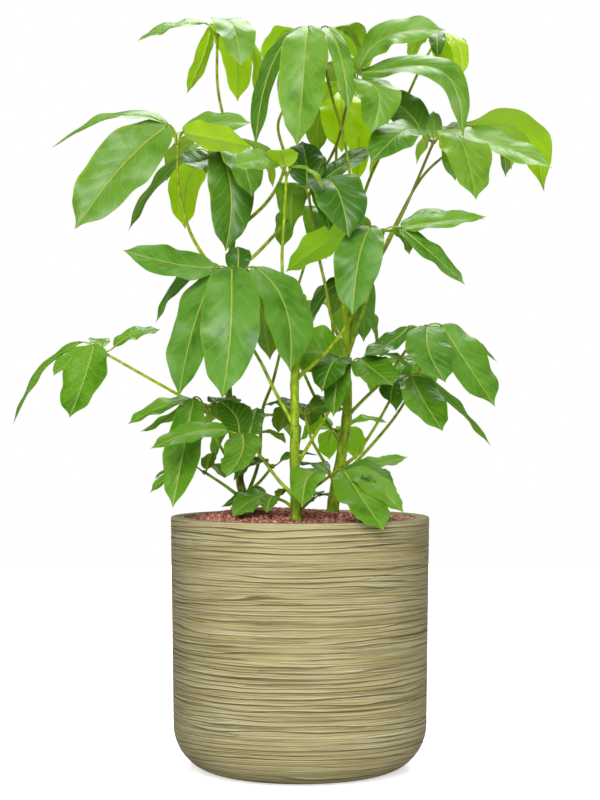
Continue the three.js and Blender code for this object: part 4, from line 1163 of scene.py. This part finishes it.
def build_trunk(name, trunk, material, settings):
    """One stem: ringed and swollen where leaves were shed, tapering to its growing tip."""
    path = curve_through(trunk.route, TRUNK_ROW)
    thick, thin = trunk.radii
    radii = [thick + (thin - thick) * share for share in shares_along(path)]
    last_step = (path[-1] - path[-2]).normalized()
    for index in range(1, TIP_ROWS + 1):
        share = index / TIP_ROWS
        path.append(path[-1] + last_step * TIP_LENGTH / TIP_ROWS)
        radii.append(thin * math.sqrt(max(0.02, 1 - share * share)))
    rings = trunk_rings(trunk, random.Random(sum(trunk.scars)))
    bm = bmesh.new()
    bark = bm.verts.layers.float_vector.new("bark")
    spots = rolled_tube(bm, path, radii, TRUNK_SIDES)
    top = path[-1].z
    swell_drop, swell_reach = SCARS["swelling"]
    crescent_drop, crescent_reach = SCARS["crescent"]
    for vert, station, angle in spots:
        centre = path[station]
        out = vert.co - centre
        if out.length < 0.01:
            vert[bark] = Vector((0, (centre.z - TRUNK_FOOT) / (top - TRUNK_FOOT), 0))
            continue
        swell = scar_mark = edge = 0.0
        for level, facing, strong in rings:
            side = 0.5 + 0.5 * math.cos(angle - facing)
            reach = strong * (0.35 + 0.65 * side)
            away = vert.co.z - level - SCARS["lean"] * (side - 0.5) * strong
            swell += reach * hump(away + swell_drop, swell_reach)
            edge = max(edge, reach * hump(away, SCARS["ring"]))
            crescent = hump(away + crescent_drop, crescent_reach) * strong
            scar_mark = max(scar_mark, crescent * ease(side, *SCARS["crescent_side"]))
        lumps = 0.06 * ripple(vert.co.x / 7, vert.co.y / 7, vert.co.z / 22)
        flare = ROOT_FLARE["share"] * hump(centre.z - ROOT_FLARE["level"], ROOT_FLARE["reach"])
        swell *= settings.scar_swelling
        vert.co = centre + out * (1 + swell + lumps + flare - 0.05 * edge)
        height = (vert.co.z - GRAVEL["wall_level"]) / (top - GRAVEL["wall_level"])
        age_mark = trunk.youth + (1 - trunk.youth) * max(0.0, height)
        vert[bark] = Vector((scar_mark, age_mark, 0.85 * edge))
    close_seams(bm, [vert for vert, _, _ in spots])
    node = "trunk_" + name
    return finish_piece(bm, node + "_bark", [material], [node])


# ---- leaves -------------------------------------------------------------------------


BOW_PEAK = BOW_IN / (BOW_IN + BOW_OUT)
BOW_HEIGHT = BOW_PEAK ** BOW_IN * (1 - BOW_PEAK) ** BOW_OUT


def bow(t, arch):
    """How far a leaflet's midrib stands over the straight line to its tip: 1 at most. The
    highest arches turn down later."""
    t = min(max(t, 0.0), 1.0) ** max(1, arch / LATE_ARCH)
    return t ** BOW_IN * (1 - t) ** BOW_OUT / BOW_HEIGHT


def blade_width(t):
    """The blade's width at a share of its length, as a share of its greatest width."""
    if t < WIDEST:
        return math.sqrt(max(0.0, 1 - ((t - WIDEST) / WIDEST) ** 2))
    out = (t - WIDEST) / (1 - WIDEST)
    return max(0.0, 1 - out ** OUTER_CURVE) ** TAPER * (1 - DRIP * ease(out, DRIP_START, 1))


def trunk_axis(name, level):
    """The middle of a trunk at a level."""
    path = curve_through(TRUNKS[name].route, TRUNK_ROW)
    return min(path, key=lambda point: abs(point.z - level))


class Leaflet:
    """The lines that one leaflet is built along."""

    def __init__(self, leaf, leaf_index, index):
        x, y, z, width, arch, roll, *bend = leaf.leaflets[index]
        rng = random.Random(100 * leaf_index + index)
        hub = Vector(leaf.hub)
        reach = Vector((x, y, z))
        self.outward = Vector((x, y, 0)).normalized()
        self.left = Vector((-self.outward.y, self.outward.x, 0))
        stalk = min(max(reach.length * PETIOLULE_SHARE, PETIOLULE_SPAN[0]), PETIOLULE_SPAN[1])
        rise = math.radians(leaf.rise)
        self.stalk_way = self.outward * math.cos(rise) + Vector((0, 0, math.sin(rise)))
        self.base = hub + self.stalk_way * stalk
        self.chord = hub + reach - self.base
        self.length = self.chord.length
        self.up = self.chord.cross(self.left).normalized()
        self.arch = arch
        self.half = width / 2
        self.roll = math.radians(roll)
        self.twist = math.radians(rng.uniform(-10, 10))
        self.sway = sum(bend) + rng.uniform(-0.02, 0.02) * self.length
        self.phase = LEAF_PHASE * leaf_index + LEAFLET_PHASE * index
        # The tone holds age and painted light: painted shade when low, painted backlight when high.
        self.tone = leaf.tones[index] if leaf.tones else rng.uniform(0.2, 0.6)

    def rib(self, t):
        """The midrib's point at a share of the blade's length."""
        sway = self.left * (self.sway * math.sin(math.pi * min(max(t, 0), 1)))
        return self.base + self.chord * t + self.up * (self.arch * bow(t, self.arch)) + sway

    def ahead(self, t):
        """The way the midrib runs there."""
        low, high = max(t - 0.01, 0), min(t + 0.01, 1)
        return (self.rib(high) - self.rib(low)).normalized()

    def axes(self, t):
        """The directions over the blade and across it at a share of its length."""
        face = self.ahead(t).cross(self.left).normalized()
        turn = self.roll + self.twist * (t - 0.3)
        side = self.left * math.cos(turn) - face * math.sin(turn)
        return face * math.cos(turn) + self.left * math.sin(turn), side


def blade_row(leaflet, share, teeth):
    """One row across a blade: how far along it lies, its point on the midrib, the directions
    over and across the blade there, and the blade's half width."""
    t = (1 - ROW_EASING) * share + ROW_EASING * (0.5 - 0.5 * math.cos(math.pi * share))
    face, side = leaflet.axes(t)
    half = leaflet.half * blade_width(t)
    if teeth:
        tooth = (t * TEETH) % 1.0
        half *= 1 - teeth * ease(t, *TOOTHED_FROM) * (1 - tooth) * 0.9
    return t, leaflet.rib(t), face, side, half


def blade_rise(leaflet, s, t, half, under, settings):
    """How far a blade stands over its midrib's line at a place on it: across from -1 to 1,
    along from 0 to 1."""
    out = abs(s)
    edge = math.copysign(1, s)
    ends = min(1.0, END_TAPER * t, END_TAPER * (1 - t))
    rise = settings.fold * half * (2.3 * out - 1.5 * s * s)
    wave = math.sin(2 * math.pi * WAVES * t + leaflet.phase + edge)
    wave += 0.35 * math.sin(2 * math.pi * SMALL_WAVES * t + 1.7 * leaflet.phase - edge)
    rise += settings.wave * 2 * half * wave * s * s * ends
    row = settings.vein_pairs * (t - VEIN_SLANT * out ** VEIN_BEND) + VEIN_SHIFT * edge
    between = math.cos(2 * math.pi * row) * math.sin(math.pi * min(1, out * 1.1))
    rise -= settings.pucker * half * between * ends
    rib = hump(out * half, RIB_REACH) * (1 - t) ** 0.7 * ends
    rise -= RIB_DIP * rib
    if under and out < 0.999:
        rise -= settings.thickness / MM * (1 - out ** 3) * ends
        rise -= RIB_KEEL * rib
    return rise


def build_blade(bm, leaflet, teeth, layers, settings):
    """One leaflet's blade: a grid wrapped round its own edge, so that it is closed."""
    place, build = layers
    columns = 4 * BLADE_COLUMNS
    grid = bmesh.ops.create_grid(bm, x_segments=columns, y_segments=BLADE_ROWS, size=1)["verts"]
    rows = [blade_row(leaflet, row / BLADE_ROWS, teeth) for row in range(BLADE_ROWS + 1)]
    for vert in grid:
        t, rib, face, side, half = rows[round((vert.co.y + 1) / 2 * BLADE_ROWS)]
        column = round((vert.co.x + 1) / 2 * columns)
        under = column > columns / 2
        turn = column / columns * 4
        across = turn - 1 if turn <= 2 else 3 - turn
        s = math.copysign(abs(across) ** COLUMN_CROWDING, across)
        rise = blade_rise(leaflet, s, t, half, under, settings)
        vert.co = rib + side * (s * half) + face * rise
        vert[place] = Vector((s, t, 1.0 if under else 0.0))
        vert[build] = Vector((leaflet.tone, max(half, 0.1), leaflet.length))
    for face in close_seams(bm, grid):
        for edge in face.edges:
            if all(abs(vert[place].x) > 0.999 for vert in edge.verts):
                edge.smooth = False


def build_stalk(bm, path, radii, sides, layers, ruddy, joints):
    """A petiole or a leaflet's stalk: a thin round tube, swollen and browner at its joints."""
    place, build = layers
    shares = shares_along(path)
    length = path_length(path)
    spots = rolled_tube(bm, path, radii, sides)
    for vert, station, _ in spots:
        away = [abs(shares[station] - joint) * length for joint in joints]
        vert[place] = Vector((0, shares[station], max(hump(gap, 5) for gap in away)))
        vert[build] = Vector((ruddy, 0, 0))
    for face in close_seams(bm, [vert for vert, _, _ in spots]):
        face.material_index = 1


def build_petiole(bm, leaf, layers):
    """The petiole from its trunk to the hub, thickest where it clasps the trunk."""
    path = curve_through([trunk_axis(*leaf.foot), *leaf.via, leaf.hub], PETIOLE_ROW)
    length = path_length(path)
    radii = []
    for share in shares_along(path):
        radius = PETIOLE_RADII[0] + (PETIOLE_RADII[1] - PETIOLE_RADII[0]) * math.sqrt(share)
        foot = PETIOLE_FOOT[0] * hump(share * length, PETIOLE_FOOT[1])
        top = PETIOLE_TOP[0] * hump((1 - share) * length, PETIOLE_TOP[1])
        radii.append(radius * (1 + foot + top))
    build_stalk(bm, path, radii, PETIOLE_SIDES, layers, leaf.ruddy, (1,))


def build_hub(bm, leaf, layers):
    """The small knob that the leaflets' stalks spread from."""
    place, build = layers
    hub = Vector(leaf.hub)
    uneven, browned = HUB_LOOK
    knob = bmesh.ops.create_icosphere(bm, subdivisions=2, radius=HUB_RADIUS,
                                      matrix=Matrix.Translation(hub))["verts"]
    for vert in knob:
        vert.co = hub + (vert.co - hub) * (1 + uneven * noise.noise(vert.co / 3))
        vert[place] = Vector((0, 1, browned))
        vert[build] = Vector((leaf.ruddy, 0, 0))
    for face in close_seams(bm, knob):
        face.material_index = 1


def build_leaflet_stalk(bm, leaf, leaflet, layers):
    """A leaflet's stalk, which leaves the hub at its angle and turns into the midrib."""
    start = Vector(leaf.hub) + leaflet.outward * PETIOLULE_OFFSET
    span = (leaflet.base - start).length / 3
    turn_in = leaflet.base - leaflet.ahead(0.02) * span
    middle = (start + leaflet.stalk_way * span + turn_in) / 2
    way = curve_through([start, middle, leaflet.base, leaflet.rib(0.03)], PETIOLULE_ROW)
    last = len(way) - 1
    size = PETIOLULE_RADIUS * (0.72 + 0.28 * min(1.0, leaflet.half / 30))
    radii = [size * (1 + 0.3 * hump(i, 2) + 0.2 * hump(last - i, 2)) for i in range(last)]
    radii.append(size * 0.5)
    build_stalk(bm, way, radii, PETIOLULE_SIDES, layers, leaf.ruddy, (0, 1))


def build_leaf(leaf, leaf_index, materials, settings):
    """One compound leaf as one piece: petiole, hub, leaflet stalks and leaflets."""
    bm = bmesh.new()
    kinds = bm.verts.layers.float_vector
    layers = (kinds.new("place"), kinds.new("build"))
    build_petiole(bm, leaf, layers)
    build_hub(bm, leaf, layers)
    for index in range(len(leaf.leaflets)):
        leaflet = Leaflet(leaf, leaf_index, index)
        build_leaflet_stalk(bm, leaf, leaflet, layers)
        build_blade(bm, leaflet, leaf.teeth, layers, settings)
    node = "leaf_" + leaf.name
    return finish_piece(bm, node + "_grown", materials, [node])


# ---- settings -----------------------------------------------------------------------


def colour_setting(name, description, red, green, blue):
    """A colour, given in 0 to 255."""
    return FloatVectorProperty(name=name, description=description, default=srgb(red, green, blue),
                               subtype="COLOR", size=3, min=0.0, max=1.0)


def length_setting(name, description, default_mm):
    """A length, given in millimetres and kept in metres."""
    return FloatProperty(name=name, description=description, default=default_mm * MM,
                         min=0.0, precision=4, unit="LENGTH", subtype="DISTANCE")


def share_setting(name, description, default, most=1.0):
    """A share or strength from 0 to the most that it can be."""
    return FloatProperty(name=name, description=description, default=default,
                         min=0.0, max=most, subtype="FACTOR")


def count_setting(name, description, default, least, most):
    """A whole number."""
    return IntProperty(name=name, description=description, default=default, min=least, max=most)


class PlanterSettings(bpy.types.PropertyGroup):
    steps_round: count_setting("Steps round", "Segments in the spun wall", 128, 24, 240)
    groove_depth: length_setting("Groove depth", "Depth of the deepest scored lines", 1.3)
    wall_colour: colour_setting("Wall", "The clay's main colour", 158, 149, 101)
    # Darker random patches, and painted shade in the hollows between ridges.
    wall_shade: colour_setting("Wall shade", "Its darker patches", 142, 132, 82)
    # Paler random patches, and painted highlight on the raised ridges.
    wall_pale_and_ridge_highlight: colour_setting("Wall highlight", "Its rubbed ridges", 172, 165, 127)
    # Painted shade in the scored lines, also used for the painted shade on the sides that turn away.
    painted_groove_and_side_shade: colour_setting("Grooves", "The bottom of the scored lines", 66, 54, 14)
    # Painted highlight on the lips beside the thin lines.
    painted_lip_highlight: colour_setting("Lips", "The pale edges beside the thin lines", 200, 193, 160)
    rim_colour: colour_setting("Rim", "The plain flat rim", 182, 174, 136)
    rim_shade: colour_setting("Rim shade", "The rim's darker specks", 164, 156, 118)
    # Strength of the painted shade where the wall turns away from the view.
    painted_side_shade_share: share_setting("Side shade", "Darkening where the wall turns away", 0.5)


class GravelSettings(bpy.types.PropertyGroup):
    stone_pitch: length_setting("Granule spacing", "From one granule to the next", 5.5)
    # The darkest granules, and the painted shade in the gaps between them.
    dark: colour_setting("Dark", "The darkest granules and the gaps", 66, 30, 30)
    middle: colour_setting("Middle", "Most granules", 152, 80, 68)
    light: colour_setting("Light", "Lighter granules", 198, 124, 106)
    pale: colour_setting("Pale", "The palest granules", 244, 200, 180)
    soil: colour_setting("Soil", "The damp soil's colour", 48, 32, 22)
    # Painted shade in the gaps between the soil's crumbs.
    soil_gap_shade: colour_setting("Soil gaps", "Between the soil's crumbs", 24, 14, 10)
    soil_crumbs: colour_setting("Soil crumbs", "The soil's palest crumbs", 96, 70, 48)
    soil_fibre: colour_setting("Soil fibre", "Fibres in the soil", 128, 100, 68)


class TrunkSettings(bpy.types.PropertyGroup):
    scar_swelling: share_setting("Scar swelling", "At a scar, as a share of the radius", 0.16)
    upper: colour_setting("Upper bark", "Young bark at the top", 136, 168, 4)
    bark: colour_setting("Bark", "The middle of the trunks", 108, 140, 2)
    lower: colour_setting("Lower bark", "Old bark near the soil", 76, 102, 2)
    base: colour_setting("Base", "Bark just over the soil", 66, 72, 8)
    foot: colour_setting("Foot", "Bark at the soil", 44, 34, 8)
    dull: colour_setting("Dull patches", "Darker bark", 64, 84, 2)
    bright: colour_setting("Bright patches", "Paler bark", 166, 190, 30)
    fleck: colour_setting("Flecks", "Fine pale flecks", 190, 192, 90)
    scar: colour_setting("Scars", "Where leaves were shed", 150, 130, 50)
    ring: colour_setting("Rings", "The line round each scar", 78, 66, 16)


class LeafSettings(bpy.types.PropertyGroup):
    thickness: length_setting("Thickness", "Of a blade beside its midrib", 0.75)
    fold: share_setting("Fold", "Rise of each half over the midrib", 0.11)
    wave: share_setting("Edge waves", "Height, as a share of the width", 0.05)
    pucker: share_setting("Pucker", "Swelling between the side veins", 0.013)
    vein_pairs: count_setting("Side veins", "Pairs of side veins", 8, 3, 16)
    gloss_roughness: share_setting("Roughness", "Of the glossy upper side", 0.26)
    see_through: share_setting("See-through", "Share of the light that passes a blade", 0.36)
    # Strength of the painted backlight glow in the youngest, yellow blades.
    painted_backlight: share_setting("Backlight", "Light held in the youngest blades", 0.34, 2.0)
    rib: colour_setting("Midrib", "The midrib's colour", 186, 206, 84)
    stalk: colour_setting("Stalks", "Petioles and leaflet stalks", 132, 160, 10)
    stalk_shade: colour_setting("Stalk shade", "Their darker patches", 84, 112, 4)
    stalk_light: colour_setting("Stalk light", "Their paler patches", 176, 204, 30)
    joint: colour_setting("Joints", "Where stalks meet the hub", 92, 56, 30)


class StageSettings(bpy.types.PropertyGroup):
    lens: FloatProperty(name="Lens", description="Focal length", default=92.88, unit="CAMERA")
    distance: length_setting("Distance", "From the camera to the planter's middle", 3200)
    height: length_setting("Eye level", "The camera's height over the floor", 571)
    floor_size: length_setting("Floor", "Half the width of the pale floor", 4000)
    floor_glow: share_setting("Floor glow", "Light that fills the floor's shadows", 0.6, 2.0)
    ambient: share_setting("Ambient", "Strength of the white surroundings", 0.14, 2.0)
    mirrored: share_setting("Mirrored", "Their strength in glossy surfaces", 0.14, 2.0)


# ---- operators ----------------------------------------------------------------------


class PLANT_OT_planter(bpy.types.Operator):
    """Spin the clay planter with its scored wall"""
    bl_idname = "plant.planter"
    bl_label = "Planter"

    def execute(self, context):
        build_planter(context.scene.planter_settings)
        return {"FINISHED"}


class PLANT_OT_gravel(bpy.types.Operator):
    """Fill the planter: soil, the bed of granules and the loose ones on top"""
    bl_idname = "plant.gravel"
    bl_label = "Soil and gravel"

    def execute(self, context):
        settings = context.scene.gravel_settings
        granules = gravel_material(settings)
        earth = soil_material(settings)
        build_gravel_bed(granules)
        build_loose_gravel(settings, granules)
        build_soil_crumbs(earth)
        soil = frame["nodes"]["soil"]
        soil.data.materials.clear()
        soil.data.materials.append(earth)
        return {"FINISHED"}


class PLANT_OT_trunks(bpy.types.Operator):
    """Grow the three trunks"""
    bl_idname = "plant.trunks"
    bl_label = "Trunks"

    def execute(self, context):
        settings = context.scene.trunk_settings
        material = bark_material(settings)
        for name, trunk in TRUNKS.items():
            build_trunk(name, trunk, material, settings)
        return {"FINISHED"}


class PLANT_OT_leaves(bpy.types.Operator):
    """Grow every compound leaf, one piece for each"""
    bl_idname = "plant.leaves"
    bl_label = "Leaves"

    def execute(self, context):
        settings = context.scene.leaf_settings
        slots = {part["node"]: part["material_slot"] for part in frame["record"]["subparts"]}
        stalk = stalk_material(settings)
        blades = {slot: blade_material(slot + "_blade", tones, settings)
                  for slot, tones in BLADES.items()}
        for index, leaf in enumerate(LEAVES):
            slot = slots["leaf_" + leaf.name]
            build_leaf(leaf, index, [blades[slot], stalk], settings)
        return {"FINISHED"}


LIGHTS = [
    # name, kind, place, size (metres, or degrees across for the sun), power
    ("front_light", "SUN", (-0.25, -3.0, 1.9), 30, 3.0),
    ("back_light", "SUN", (0.4, 1.3, 3.0), 40, 2.6),
    ("key_light", "AREA", (-0.9, -2.5, 2.7), 1.4, 26),
    ("top_light", "AREA", (0.3, 1.5, 3.0), 1.8, 44),
]
LIGHT_TARGET = Vector((0, 0, 0.55))
FLOOR_GAP = 0.5


def lay_floor(settings):
    """A wide pale sheet just under the planter."""
    bm = bmesh.new()
    bmesh.ops.create_grid(bm, x_segments=1, y_segments=1, size=settings.floor_size)
    bmesh.ops.translate(bm, vec=(0, 0, -FLOOR_GAP * MM), verts=bm.verts)
    floor = put_in_scene("floor", mesh_of(bm, "floor"))
    floor.data.materials.append(floor_material(settings))


def hang_lights():
    """Soft lights, all aimed at the middle of the plant."""
    for name, kind, place, size, power in LIGHTS:
        lamp = bpy.data.lights.new(name, kind)
        if kind == "SUN":
            lamp.angle = math.radians(size)
        else:
            lamp.size = size
        lamp.energy = power
        light = put_in_scene(name, lamp)
        light.location = place
        light.rotation_euler = (LIGHT_TARGET - light.location).to_track_quat("-Z", "Y").to_euler()


def surround(scene, settings):
    """White surroundings that are bright to the camera and dim as a light."""
    world = bpy.data.worlds.new("studio")
    scene.world = world
    world.use_nodes = True
    world.node_tree.nodes.clear()
    wiring = Wiring(world.node_tree)
    ray = wiring.add("ShaderNodeLightPath").outputs
    unseen = wiring.step(ray["Is Glossy Ray"], 0.0, 1.0, settings.ambient, settings.mirrored)
    strength = wiring.sum("MAXIMUM", ray["Is Camera Ray"], unseen)
    sky = wiring.add("ShaderNodeBackground", inputs={"Color": WHITE, "Strength": strength})
    wiring.add("ShaderNodeOutputWorld", inputs={"Surface": sky.outputs[0]})


def place_camera(scene, settings):
    """The camera stands level, straight in front of the planter."""
    lens = bpy.data.cameras.new("camera")
    lens.lens = settings.lens
    lens.clip_end = 100
    camera = put_in_scene("camera", lens)
    camera.location = (0, -settings.distance, settings.height)
    camera.rotation_euler = (math.pi / 2, 0, 0)
    scene.camera = camera
    scene.view_settings.view_transform = "Standard"


class PLANT_OT_stage(bpy.types.Operator):
    """Set up the pale floor, the soft lights and the camera"""
    bl_idname = "plant.stage"
    bl_label = "Stage"

    def execute(self, context):
        settings = context.scene.stage_settings
        lay_floor(settings)
        hang_lights()
        surround(context.scene, settings)
        place_camera(context.scene, settings)
        return {"FINISHED"}


class PLANT_PT_pieces(bpy.types.Panel):
    """Lists the pieces of the plant and their settings"""
    bl_idname = "PLANT_PT_pieces"
    bl_label = "Potted umbrella plant"
    bl_space_type = "VIEW_3D"
    bl_region_type = "UI"
    bl_category = "Plant"

    def draw(self, context):
        for operator, name, kind in STEPS:
            box = self.layout.box()
            box.operator(operator.bl_idname)
            for setting in kind.__annotations__:
                box.prop(getattr(context.scene, name), setting)


STEPS = (
    (PLANT_OT_planter, "planter_settings", PlanterSettings),
    (PLANT_OT_gravel, "gravel_settings", GravelSettings),
    (PLANT_OT_trunks, "trunk_settings", TrunkSettings),
    (PLANT_OT_leaves, "leaf_settings", LeafSettings),
    (PLANT_OT_stage, "stage_settings", StageSettings),
)


def register():
    """Makes the settings, the operators and the panel known."""
    for operator, name, kind in STEPS:
        bpy.utils.register_class(kind)
        setattr(bpy.types.Scene, name, PointerProperty(type=kind))
        bpy.utils.register_class(operator)
    bpy.utils.register_class(PLANT_PT_pieces)


def unregister():
    """Takes them out again."""
    bpy.utils.unregister_class(PLANT_PT_pieces)
    for operator, name, kind in reversed(STEPS):
        bpy.utils.unregister_class(operator)
        delattr(bpy.types.Scene, name)
        bpy.utils.unregister_class(kind)


def main():
    """Builds every piece in order."""
    register()
    bpy.ops.plant.planter()
    bpy.ops.plant.gravel()
    bpy.ops.plant.trunks()
    bpy.ops.plant.leaves()
    bpy.ops.plant.stage()


if __name__ == "__main__":
    main()
